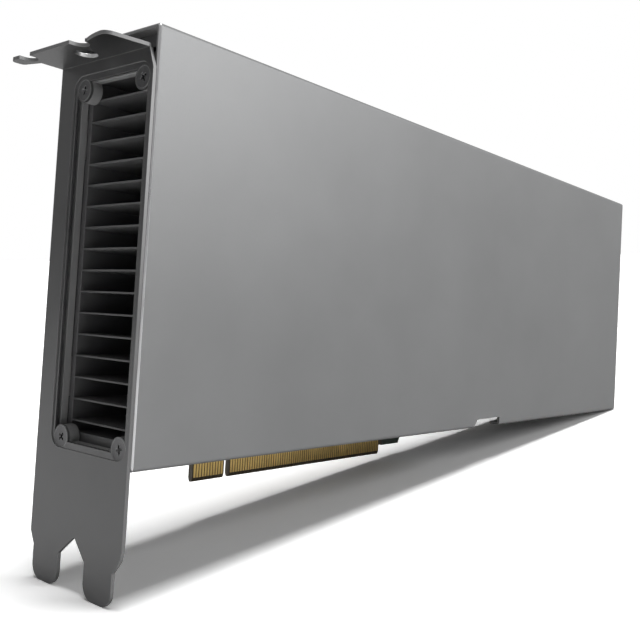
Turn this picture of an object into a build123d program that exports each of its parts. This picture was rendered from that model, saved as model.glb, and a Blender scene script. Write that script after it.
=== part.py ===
from build123d import *
import os

os.makedirs("parts", exist_ok=True)

# Frame: the origin is the centre of the key notch, on the contact tips, at mid board thickness.
# +X runs from the bracket to the far end, -Y is the component side and +Z is up.

# Board and card edge, with heights above the contact tips
board_thickness = 1.57
far_end = 209.5
bracket_to_key = 58.1
board_setback = 0.5
board_top_gap = 0.32
near_edge_rise = 8.25
far_edge_rise = 12.4
far_edge_slope = 4.0
contact_pitch = 1.0
contact_width = 0.7
contact_length = 4.6
contact_thickness = 0.06
short_contact_count = 11
long_contact_count = 71
segment_margin = 0.65
key_width = 1.9
key_height = 7.6
tip_bevel_depth = 0.4
tip_bevel_rise = 1.1
hook_gap = 1.7
hook_length = 11.2
hook_rise = 2.9
hook_slant = 1.2

# Bracket, with heights above the tongue tips where the name says so
bracket_sheet = 0.86
bracket_edge_inset = 0.2
bracket_solder_edge = 1.85
tongue_drop = 16.4
tongue_pitch = 20.32
tongue_offset = 4.85
tongue_width = 10.2
tongue_length = 7.6
tongue_corner = 3.5
shoulder_rise = 2.8
shoulder_inset = 0.65
component_shoulder_rise = 5.0
vee_rise = 4.7
vee_offset = 0.7
fold_height = 102.6
fold_radius = 0.5
fold_outer_share = 0.75
taper_height = 4.5
taper_inset = 1.65
tab_depth = 10.1
tab_corner_inset = 1.4
tab_corner_radius = 2.0
arm_reach = 5.4
arm_root = 5.5
arm_width = 3.1
arm_corner = 1.2
notch_offset = 6.1
notch_width = 4.42
notch_depth = 3.2
flare_length = 6.4
flare_depth = 1.3
flare_bow_share = 0.43
tab_hole_diameter = 5.0
tab_hole_offset = 11.0
tab_hole_distance = 4.0

# Window in the bracket, its corner ears and the shallow step round it
window_component_margin = 1.85
window_solder_margin = 6.7
window_rise = 32.3
window_fold_margin = 4.3
ear_radius = 2.75
step_depth = 0.25
step_side_margin = 0.9
step_end_margin = 1.5
step_corner = 3.2
bracket_screw_inset_component = 1.9
bracket_screw_inset_solder = 2.7
bracket_screw_inset_low = 0.9
bracket_screw_inset_high = 1.9

# Flat-head screws
flat_head_diameter = 4.9
flat_shank_diameter = 2.5
flat_cone_angle = 90
bracket_screw_length = 3.0
cover_screw_length = 3.6
drive_slot_length = 2.6
drive_slot_width = 0.6
drive_slot_depth = 0.6
screw_clearance = 0.05

# Pan-head screws from the solder side
pan_head_diameter = 4.4
pan_head_height = 1.3
pan_shank_diameter = 2.0
board_hole_diameter = 2.6
post_hole_clearance = 0.05
board_screw_grip = 2.0
frame_screw_grip = 3.0

# Exhaust frame
frame_gap = 0.8
frame_plate = 1.7
frame_side_clearance = 0.3
frame_top_clearance = 0.6
foot_length = 7.0
foot_width = 9.0
foot_height = 3.6
foot_low_margin = 14.1
foot_high_margin = 12.3
foot_clearance = 0.3

# Cover
cover_height = 32.615
cover_top_rise = 5.37
cover_sheet = 1.0
cover_near_gap = 0.1
cover_bend_radius = 1.1
cover_flange = 4.1
cover_edge_chamfer = 0.45
cover_notch_start = 140.8
cover_notch_length = 17.6
cover_notch_depth = 2.8
cover_notch_slope = 2.4
cover_screw_places = (22.0, 104.0, 188.0)
rear_cover_screw_inset = 4.6

# Heatsink body and fins
sink_front_gap = 0.25
sink_end = 200.0
sink_stand = 2.4
sink_base_thickness = 3.06
sink_lower_gap = 0.2
sink_lower_wall = 2.4
sink_upper_wall = 3.0
sink_cover_gap = 0.2
sink_post_diameter = 6.0
fin_thickness = 0.4
fin_count = 17
fin_lower_margin = 2.5
fin_upper_margin = 4.358
sink_screw_columns = (20.0, 166.0, 194.0)
sink_screw_low_margin = 11.6
sink_screw_high_margin = 8.65

# Processor and memory
processor_distance = 110.0
processor_rise = 1.275
package_side = 52.0
package_thickness = 1.4
stiffener_width = 4.0
stiffener_thickness = 0.6
die_length = 28.0
die_width = 26.0
retention_spread = 30.0
memory_length = 14.0
memory_width = 12.0
memory_thickness = 1.1
memory_column_offset = 41.0
memory_column_pitch = 16.0
memory_inner_count = 4
memory_outer_offset = 57.0
memory_outer_count = 2
pad_inset = 1.0

# Retention frame on the solder side
retention_thickness = 1.2
retention_outer = 46.0
retention_inner = 36.0
retention_corner = 4.0
retention_arm_width = 7.0
retention_arm_angle = 45
retention_foot_diameter = 8.0
decoupling_length = 1.6
decoupling_width = 0.8
decoupling_height = 0.7
decoupling_pitch_x = 3.6
decoupling_pitch_z = 4.0
decoupling_column_count = 8
decoupling_row_count = 7

# Power stage, placed from the bracket face
power_phase_count = 8
power_pitch = 9.6
power_middle_rise = 0.475
transistor_distance = 208.0
transistor_length = 5.0
transistor_width = 6.0
transistor_height = 1.0
pad_thickness = 0.5
cooler_length = 10.0
cooler_base = 2.4
cooler_fin_height = 8.0
cooler_fin_thickness = 0.9
cooler_fin_count = 20
inductor_distance = 220.0
inductor_side = 8.6
inductor_height = 5.0
inductor_chamfer = 0.9
capacitor_distance = 231.0
capacitor_diameter = 6.3
capacitor_height = 7.5
capacitor_base_height = 0.8
capacitor_rim = 0.6
ceramic_length = 3.2
ceramic_width = 1.6
ceramic_height = 1.2
ceramic_distance = 239.0
ceramic_pitch = 4.8
ceramic_count = 16
controller_side = 7.0
controller_height = 0.9
controller_distance = 246.0
controller_low_margin = 13.6
controller_spacing = 12.0
firmware_length = 6.0
firmware_width = 5.0
firmware_height = 1.6
firmware_distance = 246.0
firmware_margin = 37.6
crystal_length = 3.2
crystal_width = 2.5
crystal_height = 0.8
crystal_distance = 34.0

# Power inlets at the far end
inlet_pitch = 4.2
inlet_wall = 0.6
inlet_height = 9.8
inlet_depth = 12.8
inlet_far_gap = 0.3
inlet_cavity = 3.3
inlet_cavity_depth = 9.0
inlet_rib_width = 3.6
inlet_rib_height = 1.0
inlet_rib_length = 4.0
eight_pin_column_count = 4
six_pin_column_count = 3
inlet_row_count = 2
eight_pin_margin = 26.65
six_pin_margin = 46.65
inlet_pin_width = 1.0
inlet_pin_length = 7.0

# Rear posts at the far end
rear_post_length = 9.2
rear_post_width = 8.0
rear_post_end_gap = 0.3
rear_post_side_gap = 0.3
rear_post_cover_gap = 0.2
rear_thread_diameter = 2.5
rear_thread_depth = 5.5

# Shared places
component_face = -board_thickness / 2
solder_face = board_thickness / 2
bracket_face = -bracket_to_key
bracket_back = bracket_face + bracket_sheet
tongue_tip = -tongue_drop
cover_face = component_face - cover_height
bracket_component_edge = cover_face + bracket_edge_inset
cover_inside = cover_face + cover_sheet
cover_top = fold_height + cover_top_rise
cover_ceiling = cover_top - cover_sheet
board_top = cover_ceiling - board_top_gap
board_middle = (far_edge_rise + board_top) / 2
cover_floor = far_edge_rise + cover_sheet
frame_front = bracket_back + frame_gap
frame_back = frame_front + frame_plate
sink_front = frame_back + sink_front_gap
sink_rear = bracket_face + sink_end
sink_under = component_face - sink_stand
sink_base_top = sink_under - sink_base_thickness
sink_lower_face = far_edge_rise + cover_notch_depth + sink_lower_gap
sink_upper_face = cover_ceiling
duct_low = sink_lower_face + sink_lower_wall
duct_high = sink_upper_face - sink_upper_wall
flat_head_depth = (flat_head_diameter - flat_shank_diameter) / 2
processor_x = bracket_face + processor_distance
processor_height = board_middle + processor_rise
power_middle_height = board_middle + power_middle_rise
short_length = short_contact_count * contact_pitch + segment_margin
long_length = long_contact_count * contact_pitch + segment_margin
short_edge = -key_width / 2 - short_length
long_edge = key_width / 2 + long_length
hook_start = long_edge + hook_gap
hook_end = hook_start + hook_length
board_near = bracket_back + board_setback

# Window sides, and screw places in its corners, as (y, z)
window_low = tongue_tip + window_rise
window_high = fold_height - window_fold_margin
window_component_side = bracket_component_edge + window_component_margin
window_solder_side = bracket_solder_edge - window_solder_margin
window_width = window_solder_side - window_component_side
window_height = window_high - window_low
window_y = (window_component_side + window_solder_side) / 2
window_z = (window_low + window_high) / 2
bracket_screw_points = [
    (y, z)
    for y in (
        window_component_side + bracket_screw_inset_component,
        window_solder_side - bracket_screw_inset_solder,
    )
    for z in (window_low + bracket_screw_inset_low, window_high - bracket_screw_inset_high)
]

# Screw places on the board, as (x, z)
retention_points = [
    (processor_x + side * retention_spread, processor_height + end * retention_spread)
    for side in (-1, 1)
    for end in (-1, 1)
]
sink_screw_points = [
    (bracket_face + distance, height)
    for distance in sink_screw_columns
    for height in (far_edge_rise + sink_screw_low_margin, board_top - sink_screw_high_margin)
]
foot_points = [
    (frame_back + foot_length / 2, height)
    for height in (window_low + foot_low_margin, window_high - foot_high_margin)
]
rear_post_x = far_end - rear_post_end_gap - rear_post_length / 2
lower_post_z = cover_floor + rear_post_side_gap + rear_post_width / 2
upper_post_z = cover_ceiling - rear_post_width / 2
rear_points = [(rear_post_x, lower_post_z), (rear_post_x, upper_post_z)]

# Memory places, as (x, z), in an inner and an outer column on each side of the processor
memory_points = [
    (
        processor_x + side * offset,
        processor_height + (row - (count - 1) / 2) * memory_column_pitch,
    )
    for side in (-1, 1)
    for offset, count in (
        (memory_column_offset, memory_inner_count),
        (memory_outer_offset, memory_outer_count),
    )
    for row in range(count)
]


def component_plane(height):
    """Plane over the component face that looks away from the board."""
    return Plane.XZ.offset(board_thickness / 2 + height)


def solder_plane(height):
    """Plane over the solder face that looks towards the board."""
    return Plane.XZ.offset(-board_thickness / 2 - height)


def power_row(distance):
    """Places of one row of the power stage, as (x, z)."""
    return [
        (bracket_face + distance, power_middle_height + (phase - (power_phase_count - 1) / 2) * power_pitch)
        for phase in range(power_phase_count)
    ]


def window_outline():
    """Window of the bracket with the four corner ears left standing."""
    with BuildSketch() as outline:
        with Locations((window_y, window_z)):
            Rectangle(window_width, window_height)
        for y, z in bracket_screw_points:
            towards_y = 1 if y > window_y else -1
            towards_z = 1 if z > window_z else -1
            with Locations((y, z)):
                Circle(ear_radius, mode=Mode.SUBTRACT)
            with Locations((y + towards_y * ear_radius / 2, z + towards_z * ear_radius / 2)):
                Rectangle(ear_radius, ear_radius, mode=Mode.SUBTRACT)
    return outline.sketch


def save(part, name):
    """Label a finished piece and write its STEP file."""
    part.label = name
    export_step(part, f"parts/{name}.step")


# Folded steel bracket
tab_side = bracket_component_edge + taper_inset
tab_outer = bracket_face - tab_depth
tongue_centres = (-tongue_offset, -tongue_offset - tongue_pitch)
solder_tongue, component_tongue = tongue_centres
notch_points = [(tab_outer + notch_depth - notch_width / 2, y + notch_offset) for y in tongue_centres]
shoulder = tongue_tip + tongue_length
vee_y = (solder_tongue + component_tongue) / 2 - vee_offset
fold_top = fold_height + bracket_sheet

with BuildPart() as io_bracket:
    with BuildSketch(Plane.YZ.offset(bracket_face)) as face:
        with BuildLine():
            Polyline(
                (bracket_solder_edge, fold_top),
                (bracket_solder_edge, shoulder + shoulder_rise),
                (solder_tongue + tongue_width / 2, shoulder),
                (solder_tongue + tongue_width / 2, tongue_tip),
                (solder_tongue - tongue_width / 2, tongue_tip),
                (solder_tongue - tongue_width / 2, shoulder),
                (vee_y, shoulder + vee_rise),
                (component_tongue + tongue_width / 2, shoulder),
                (component_tongue + tongue_width / 2, tongue_tip),
                (component_tongue - tongue_width / 2, tongue_tip),
                (component_tongue - tongue_width / 2, shoulder),
                (bracket_component_edge + shoulder_inset, shoulder + shoulder_rise),
                (bracket_component_edge, shoulder + component_shoulder_rise),
                (bracket_component_edge, fold_height - taper_height),
                (tab_side, fold_height),
                (tab_side, fold_top),
                close=True,
            )
        make_face()
        fillet(face.vertices().group_by(Axis.Y)[0], tongue_corner)
    extrude(amount=bracket_sheet)

    with BuildSketch(Plane.XY.offset(fold_height)) as tab:
        with BuildLine():
            Polyline(
                (bracket_back, tab_side),
                (tab_outer, tab_side + tab_corner_inset),
                (tab_outer, bracket_solder_edge + arm_reach),
                (tab_outer + arm_width, bracket_solder_edge + arm_reach),
                (bracket_face - arm_root, bracket_solder_edge),
                (bracket_back, bracket_solder_edge),
                close=True,
            )
        make_face()
        fillet(tab.vertices().sort_by(Axis.X)[0:2].sort_by(Axis.Y)[0], tab_corner_radius)
        fillet(tab.vertices().group_by(Axis.Y)[-1], arm_corner)
        for x, y in notch_points:
            with Locations((x, y)):
                Circle(notch_width / 2, mode=Mode.SUBTRACT)
            with Locations((x - notch_depth / 2, y)):
                Rectangle(notch_depth, notch_width, mode=Mode.SUBTRACT)
        flare_y = component_tongue + notch_offset - notch_width / 2
        with BuildLine():
            flare_start = (tab_outer, flare_y - flare_length)
            flare_end = (tab_outer + flare_depth, flare_y)
            flare_middle = (
                tab_outer + flare_depth * flare_bow_share,
                flare_y - flare_length * flare_bow_share,
            )
            ThreePointArc(flare_start, flare_middle, flare_end)
            Polyline(flare_end, (tab_outer, flare_y), flare_start)
        make_face(mode=Mode.SUBTRACT)
        with Locations((bracket_face - tab_hole_distance, component_tongue + tab_hole_offset)):
            Circle(tab_hole_diameter / 2, mode=Mode.SUBTRACT)
    extrude(amount=bracket_sheet)

    fold_edges = io_bracket.edges().filter_by(Axis.Y)
    inner_fold = fold_edges.filter_by_position(
        Axis.X, bracket_face - bracket_sheet / 2, bracket_face + bracket_sheet / 2
    ).sort_by(Axis.Z)[-1]
    fillet(inner_fold, fold_radius)
    outer_fold = io_bracket.edges().filter_by(Axis.Y).filter_by_position(
        Axis.X, bracket_back - bracket_sheet / 2, bracket_back + bracket_sheet / 2
    ).sort_by(Axis.Z)[-1]
    fillet(outer_fold, fold_radius + bracket_sheet * fold_outer_share)

    with BuildSketch(Plane.YZ.offset(bracket_face)) as step:
        with Locations((window_y, window_z)):
            RectangleRounded(
                window_width + 2 * step_side_margin, window_height + 2 * step_end_margin, step_corner
            )
    extrude(amount=step_depth, mode=Mode.SUBTRACT)
    with BuildSketch(Plane.YZ.offset(bracket_face)):
        add(window_outline())
    extrude(amount=bracket_sheet, mode=Mode.SUBTRACT)
    with BuildSketch(Plane.YZ.offset(bracket_face + step_depth)):
        with Locations(*bracket_screw_points):
            Circle(flat_head_diameter / 2 + screw_clearance)
    extrude(amount=bracket_sheet - step_depth, taper=flat_cone_angle / 2, mode=Mode.SUBTRACT)
save(io_bracket.part, "io_bracket")


# Countersunk screws of the bracket
with BuildPart() as bracket_screws:
    head_plane = bracket_face + step_depth
    with BuildSketch(Plane.YZ.offset(head_plane)):
        with Locations(*bracket_screw_points):
            Circle(flat_head_diameter / 2)
    extrude(amount=flat_head_depth, taper=flat_cone_angle / 2)
    with BuildSketch(Plane.YZ.offset(head_plane)):
        with Locations(*bracket_screw_points):
            Circle(flat_shank_diameter / 2)
    extrude(amount=bracket_screw_length)
    with BuildSketch(Plane.YZ.offset(head_plane)):
        with Locations(*bracket_screw_points):
            Rectangle(drive_slot_length, drive_slot_width)
            Rectangle(drive_slot_width, drive_slot_length)
    extrude(amount=drive_slot_depth, mode=Mode.SUBTRACT)
save(bracket_screws.part, "bracket_screws")


# Frame behind the window, with bosses under the screws and two feet on the board
with BuildPart() as exhaust_frame:
    frame_component_side = cover_inside + frame_side_clearance
    frame_solder_side = component_face - frame_side_clearance
    frame_low = cover_floor + frame_side_clearance
    frame_high = fold_height - frame_top_clearance
    with BuildSketch(Plane.YZ.offset(frame_front)):
        with Locations(((frame_component_side + frame_solder_side) / 2, (frame_low + frame_high) / 2)):
            Rectangle(frame_solder_side - frame_component_side, frame_high - frame_low)
        add(window_outline(), mode=Mode.SUBTRACT)
    extrude(amount=frame_plate)
    with BuildSketch(Plane.YZ.offset(bracket_back)):
        with Locations(*bracket_screw_points):
            Circle(ear_radius)
    extrude(amount=frame_gap)
    with BuildSketch(Plane.YZ.offset(frame_back)):
        with Locations(*[(component_face - foot_height / 2, z) for x, z in foot_points]):
            Rectangle(foot_height, foot_width)
    extrude(amount=foot_length)
    with BuildSketch(Plane.YZ.offset(bracket_face + step_depth)):
        with Locations(*bracket_screw_points):
            Circle(flat_head_diameter / 2 + screw_clearance)
    extrude(amount=flat_head_depth, taper=flat_cone_angle / 2, mode=Mode.SUBTRACT)
    with BuildSketch(Plane.YZ.offset(bracket_back)):
        with Locations(*bracket_screw_points):
            Circle(flat_shank_diameter / 2 + screw_clearance)
    extrude(amount=frame_gap + frame_plate, mode=Mode.SUBTRACT)
    with BuildSketch(component_plane(0)):
        with Locations(*foot_points):
            Circle(pan_shank_diameter / 2 + post_hole_clearance)
    extrude(amount=foot_height, mode=Mode.SUBTRACT)
save(exhaust_frame.part, "exhaust_frame")


# Folded cover: top wall, component face and narrow bottom flange
cover_near = bracket_back + cover_near_gap
cover_screw_xs = [bracket_face + place for place in cover_screw_places]
cover_screw_xs.append(far_end - rear_cover_screw_inset)
cover_screw_y = (cover_inside + component_face) / 2
cover_screw_points = [(x, cover_screw_y) for x in cover_screw_xs]

with BuildPart() as shroud_cover:
    with BuildSketch(Plane.YZ.offset(cover_near)):
        with BuildLine():
            FilletPolyline(
                (solder_face, cover_top),
                (cover_face, cover_top),
                (cover_face, far_edge_rise),
                (cover_face + cover_flange, far_edge_rise),
                radius=cover_bend_radius,
            )
            Line((cover_face + cover_flange, far_edge_rise), (cover_face + cover_flange, cover_floor))
            Polyline(
                (cover_face + cover_flange, cover_floor),
                (cover_inside, cover_floor),
                (cover_inside, cover_ceiling),
                (solder_face, cover_ceiling),
                (solder_face, cover_top),
            )
        make_face()
    extrude(amount=far_end - cover_near)
    notch_x = bracket_face + cover_notch_start
    with BuildSketch(Plane.XZ.offset(-cover_inside - cover_flange)):
        with BuildLine():
            Polyline(
                (notch_x, far_edge_rise - cover_sheet),
                (notch_x, far_edge_rise),
                (notch_x + cover_notch_slope, far_edge_rise + cover_notch_depth),
                (notch_x + cover_notch_length, far_edge_rise + cover_notch_depth),
                (notch_x + cover_notch_length, far_edge_rise - cover_sheet),
                close=True,
            )
        make_face()
    extrude(amount=cover_flange + cover_sheet * 2, mode=Mode.SUBTRACT)
    near_edges = shroud_cover.edges().filter_by(Axis.Z).group_by(Axis.X)[0].group_by(Axis.Y)[0]
    chamfer(near_edges, cover_edge_chamfer)
    with BuildSketch(Plane.XY.offset(cover_top)):
        with Locations(*cover_screw_points):
            Circle(flat_head_diameter / 2 + screw_clearance)
    extrude(amount=-cover_sheet, taper=flat_cone_angle / 2, mode=Mode.SUBTRACT)
save(shroud_cover.part, "shroud_cover")


# Countersunk screws through the top wall
with BuildPart() as cover_screws:
    with BuildSketch(Plane.XY.offset(cover_top)):
        with Locations(*cover_screw_points):
            Circle(flat_head_diameter / 2)
    extrude(amount=-flat_head_depth, taper=flat_cone_angle / 2)
    with BuildSketch(Plane.XY.offset(cover_top)):
        with Locations(*cover_screw_points):
            Circle(flat_shank_diameter / 2)
    extrude(amount=-cover_screw_length)
    with BuildSketch(Plane.XY.offset(cover_top)):
        with Locations(*cover_screw_points):
            Rectangle(drive_slot_length, drive_slot_width)
            Rectangle(drive_slot_width, drive_slot_length)
    extrude(amount=-drive_slot_depth, mode=Mode.SUBTRACT)
save(cover_screws.part, "cover_screws")


# Heatsink body: base with pockets over the frame's feet, lower wall, upper wall and posts
with BuildPart() as heatsink_body:
    wall_end = cover_inside + sink_cover_gap
    with BuildSketch(Plane.YZ.offset(sink_front)):
        with BuildLine():
            Polyline(
                (sink_under, sink_lower_face),
                (sink_under, sink_upper_face),
                (wall_end, sink_upper_face),
                (wall_end, duct_high),
                (sink_base_top, duct_high),
                (sink_base_top, duct_low),
                (wall_end, duct_low),
                (wall_end, sink_lower_face),
                close=True,
            )
        make_face()
    extrude(amount=sink_rear - sink_front)
    with BuildSketch(component_plane(sink_stand)):
        with Locations(*foot_points):
            Rectangle(foot_length + 2 * foot_clearance, foot_width + 2 * foot_clearance)
    extrude(amount=foot_height - sink_stand + foot_clearance, mode=Mode.SUBTRACT)
    with BuildSketch(component_plane(0)):
        with Locations(*retention_points, *sink_screw_points):
            Circle(sink_post_diameter / 2)
    extrude(amount=sink_stand)
    with BuildSketch(component_plane(0)):
        with Locations(*retention_points, *sink_screw_points):
            Circle(pan_shank_diameter / 2 + post_hole_clearance)
    extrude(amount=sink_stand + board_screw_grip, mode=Mode.SUBTRACT)
    with BuildSketch(Plane.XY.offset(cover_top)):
        with Locations(*cover_screw_points[:-1]):
            Circle(flat_head_diameter / 2 + screw_clearance)
    extrude(amount=-flat_head_depth, taper=flat_cone_angle / 2, mode=Mode.SUBTRACT)
    with BuildSketch(Plane.XY.offset(cover_ceiling)):
        with Locations(*cover_screw_points[:-1]):
            Circle(flat_shank_diameter / 2 + screw_clearance)
    extrude(amount=-sink_upper_wall, mode=Mode.SUBTRACT)
save(heatsink_body.part, "heatsink_body")


# Thin fins along the air path
with BuildPart() as heatsink_fins:
    fin_tip = cover_inside + sink_cover_gap
    fin_pitch = (duct_high - duct_low - fin_lower_margin - fin_upper_margin) / (fin_count - 1)
    with BuildSketch(Plane.YZ.offset(sink_front)):
        for level in range(fin_count):
            fin_height = duct_low + fin_lower_margin + level * fin_pitch
            with Locations(((fin_tip + sink_base_top) / 2, fin_height)):
                Rectangle(sink_base_top - fin_tip, fin_thickness)
    extrude(amount=sink_rear - sink_front)
save(heatsink_fins.part, "heatsink_fins")


# Circuit board with the card edge, key notch and retention hook
with BuildPart() as circuit_board:
    with BuildSketch(Plane.XZ):
        with BuildLine():
            Polyline(
                (board_near, near_edge_rise),
                (short_edge, near_edge_rise),
                (short_edge, 0),
                (-key_width / 2, 0),
                (-key_width / 2, key_height),
                (key_width / 2, key_height),
                (key_width / 2, 0),
                (long_edge, 0),
                (long_edge, near_edge_rise),
                (hook_start, near_edge_rise),
                (hook_start, hook_rise),
                (hook_end - hook_slant, hook_rise),
                (hook_end, hook_rise + hook_slant * 2),
                (hook_end, near_edge_rise),
                (hook_end + far_edge_slope, far_edge_rise),
                (far_end, far_edge_rise),
                (far_end, board_top),
                (board_near, board_top),
                close=True,
            )
        make_face()
    extrude(amount=board_thickness / 2, both=True)
    with BuildSketch(Plane.YZ.offset(short_edge)):
        for side in (-1, 1):
            with BuildLine():
                Polyline(
                    (side * solder_face, 0),
                    (side * (solder_face - tip_bevel_depth), 0),
                    (side * solder_face, tip_bevel_rise),
                    close=True,
                )
            make_face()
    extrude(amount=long_edge - short_edge, mode=Mode.SUBTRACT)
    with BuildSketch(Plane.XZ):
        with Locations(*retention_points, *sink_screw_points, *foot_points, *rear_points):
            Circle(board_hole_diameter / 2)
    extrude(amount=board_thickness / 2, both=True, mode=Mode.SUBTRACT)
save(circuit_board.part, "circuit_board")


# Contacts, one row on each face of the card edge
contact_middle = tip_bevel_rise + contact_length / 2
contact_rows = [
    (-key_width / 2 - short_length / 2, short_contact_count),
    (key_width / 2 + long_length / 2, long_contact_count),
]

with BuildPart() as component_contacts:
    with BuildSketch(component_plane(0)):
        for middle, count in contact_rows:
            with Locations((middle, contact_middle)):
                with GridLocations(contact_pitch, contact_pitch, count, 1):
                    Rectangle(contact_width, contact_length)
    extrude(amount=contact_thickness)
save(component_contacts.part, "edge_contacts_component_side")

with BuildPart() as solder_contacts:
    with BuildSketch(solder_plane(0)):
        for middle, count in contact_rows:
            with Locations((middle, contact_middle)):
                with GridLocations(contact_pitch, contact_pitch, count, 1):
                    Rectangle(contact_width, contact_length)
    extrude(amount=-contact_thickness)
save(solder_contacts.part, "edge_contacts_solder_side")


# Processor package, its stiffener ring and the bare die under the heatsink base
with BuildPart() as processor_substrate:
    with BuildSketch(component_plane(0)):
        with Locations((processor_x, processor_height)):
            Rectangle(package_side, package_side)
    extrude(amount=package_thickness)
save(processor_substrate.part, "processor_substrate")

with BuildPart() as processor_stiffener:
    with BuildSketch(component_plane(package_thickness)):
        with Locations((processor_x, processor_height)):
            Rectangle(package_side, package_side)
            RectangleRounded(
                package_side - 2 * stiffener_width,
                package_side - 2 * stiffener_width,
                stiffener_width / 2,
                mode=Mode.SUBTRACT,
            )
    extrude(amount=stiffener_thickness)
save(processor_stiffener.part, "processor_stiffener")

with BuildPart() as processor_die:
    with BuildSketch(component_plane(package_thickness)):
        with Locations((processor_x, processor_height)):
            Rectangle(die_length, die_width)
    extrude(amount=sink_stand - package_thickness)
save(processor_die.part, "processor_die")


# Memory on both faces, with pads up to the heatsink base
with BuildPart() as component_memory:
    with BuildSketch(component_plane(0)):
        with Locations(*memory_points):
            Rectangle(memory_width, memory_length)
    extrude(amount=memory_thickness)
save(component_memory.part, "memory_chips_component_side")

with BuildPart() as memory_pads:
    with BuildSketch(component_plane(memory_thickness)):
        with Locations(*memory_points):
            Rectangle(memory_width - 2 * pad_inset, memory_length - 2 * pad_inset)
    extrude(amount=sink_stand - memory_thickness)
save(memory_pads.part, "memory_thermal_pads")

with BuildPart() as solder_memory:
    with BuildSketch(solder_plane(0)):
        with Locations(*memory_points):
            Rectangle(memory_width, memory_length)
    extrude(amount=-memory_thickness)
save(solder_memory.part, "memory_chips_solder_side")


# Retention frame on the solder side: a square ring with four diagonal arms
with BuildPart() as retention_frame:
    arm_length = 2 * Vector(retention_spread, retention_spread).length
    with BuildSketch(solder_plane(0)):
        with Locations((processor_x, processor_height)):
            RectangleRounded(retention_outer, retention_outer, retention_corner)
            with Locations(Rotation(0, 0, retention_arm_angle), Rotation(0, 0, -retention_arm_angle)):
                Rectangle(arm_length, retention_arm_width)
        with Locations(*retention_points):
            Circle(retention_foot_diameter / 2)
            Circle(board_hole_diameter / 2, mode=Mode.SUBTRACT)
        with Locations((processor_x, processor_height)):
            RectangleRounded(retention_inner, retention_inner, retention_corner, mode=Mode.SUBTRACT)
    extrude(amount=-retention_thickness)
save(retention_frame.part, "retention_frame")

with BuildPart() as retention_screws:
    with BuildSketch(solder_plane(retention_thickness)):
        with Locations(*retention_points):
            Circle(pan_head_diameter / 2)
    extrude(amount=-pan_head_height)
    with BuildSketch(solder_plane(retention_thickness)):
        with Locations(*retention_points):
            Circle(pan_shank_diameter / 2)
    extrude(amount=retention_thickness + board_thickness + sink_stand)
    with BuildSketch(solder_plane(retention_thickness + pan_head_height)):
        with Locations(*retention_points):
            Rectangle(drive_slot_length, drive_slot_width)
            Rectangle(drive_slot_width, drive_slot_length)
    extrude(amount=drive_slot_depth, mode=Mode.SUBTRACT)
save(retention_screws.part, "retention_screws")

with BuildPart() as board_screws:
    board_screw_points = sink_screw_points + foot_points + rear_points
    with BuildSketch(solder_plane(0)):
        with Locations(*board_screw_points):
            Circle(pan_head_diameter / 2)
    extrude(amount=-pan_head_height)
    with BuildSketch(solder_plane(0)):
        with Locations(*board_screw_points):
            Circle(pan_shank_diameter / 2)
    extrude(amount=board_thickness + frame_screw_grip)
    with BuildSketch(solder_plane(pan_head_height)):
        with Locations(*board_screw_points):
            Rectangle(drive_slot_length, drive_slot_width)
            Rectangle(drive_slot_width, drive_slot_length)
    extrude(amount=drive_slot_depth, mode=Mode.SUBTRACT)
save(board_screws.part, "board_screws")

with BuildPart() as decoupling_capacitors:
    with BuildSketch(solder_plane(0)):
        with Locations((processor_x, processor_height)):
            with GridLocations(
                decoupling_pitch_x, decoupling_pitch_z, decoupling_column_count, decoupling_row_count
            ):
                Rectangle(decoupling_length, decoupling_width)
    extrude(amount=-decoupling_height)
save(decoupling_capacitors.part, "decoupling_capacitors")


# Power stage: transistors under a small finned cooler, inductors and capacitors
with BuildPart() as power_transistors:
    with BuildSketch(component_plane(0)):
        with Locations(*power_row(transistor_distance)):
            Rectangle(transistor_length, transistor_width)
    extrude(amount=transistor_height)
save(power_transistors.part, "power_transistors")

cooler_span = power_pitch * power_phase_count
with BuildPart() as power_stage_pad:
    with BuildSketch(component_plane(transistor_height)):
        with Locations((bracket_face + transistor_distance, power_middle_height)):
            Rectangle(transistor_length, cooler_span)
    extrude(amount=pad_thickness)
save(power_stage_pad.part, "power_stage_pad")

with BuildPart() as power_stage_heatsink:
    cooler_foot = component_face - transistor_height - pad_thickness
    cooler_pitch = (cooler_span - cooler_fin_thickness) / (cooler_fin_count - 1)
    with BuildSketch(Plane.YZ.offset(bracket_face + transistor_distance - cooler_length / 2)):
        with Locations((cooler_foot - cooler_base / 2, power_middle_height)):
            Rectangle(cooler_base, cooler_span)
        with Locations((cooler_foot - cooler_base - cooler_fin_height / 2, power_middle_height)):
            with GridLocations(cooler_pitch, cooler_pitch, 1, cooler_fin_count):
                Rectangle(cooler_fin_height, cooler_fin_thickness)
    extrude(amount=cooler_length)
save(power_stage_heatsink.part, "power_stage_heatsink")

with BuildPart() as power_inductors:
    with BuildSketch(component_plane(0)) as inductor_outline:
        with Locations(*power_row(inductor_distance)):
            Rectangle(inductor_side, inductor_side)
        chamfer(inductor_outline.vertices(), inductor_chamfer)
    extrude(amount=inductor_height)
save(power_inductors.part, "power_inductors")

with BuildPart() as bulk_capacitors:
    with BuildSketch(component_plane(0)):
        with Locations(*power_row(capacitor_distance)):
            Rectangle(capacitor_diameter, capacitor_diameter)
    extrude(amount=capacitor_base_height)
    with BuildSketch(component_plane(capacitor_base_height)):
        with Locations(*power_row(capacitor_distance)):
            Circle(capacitor_diameter / 2)
    extrude(amount=capacitor_height - capacitor_base_height)
    can_rims = bulk_capacitors.edges().filter_by(GeomType.CIRCLE).group_by(Axis.Y)[0]
    fillet(can_rims, capacitor_rim)
save(bulk_capacitors.part, "bulk_capacitors")

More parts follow.
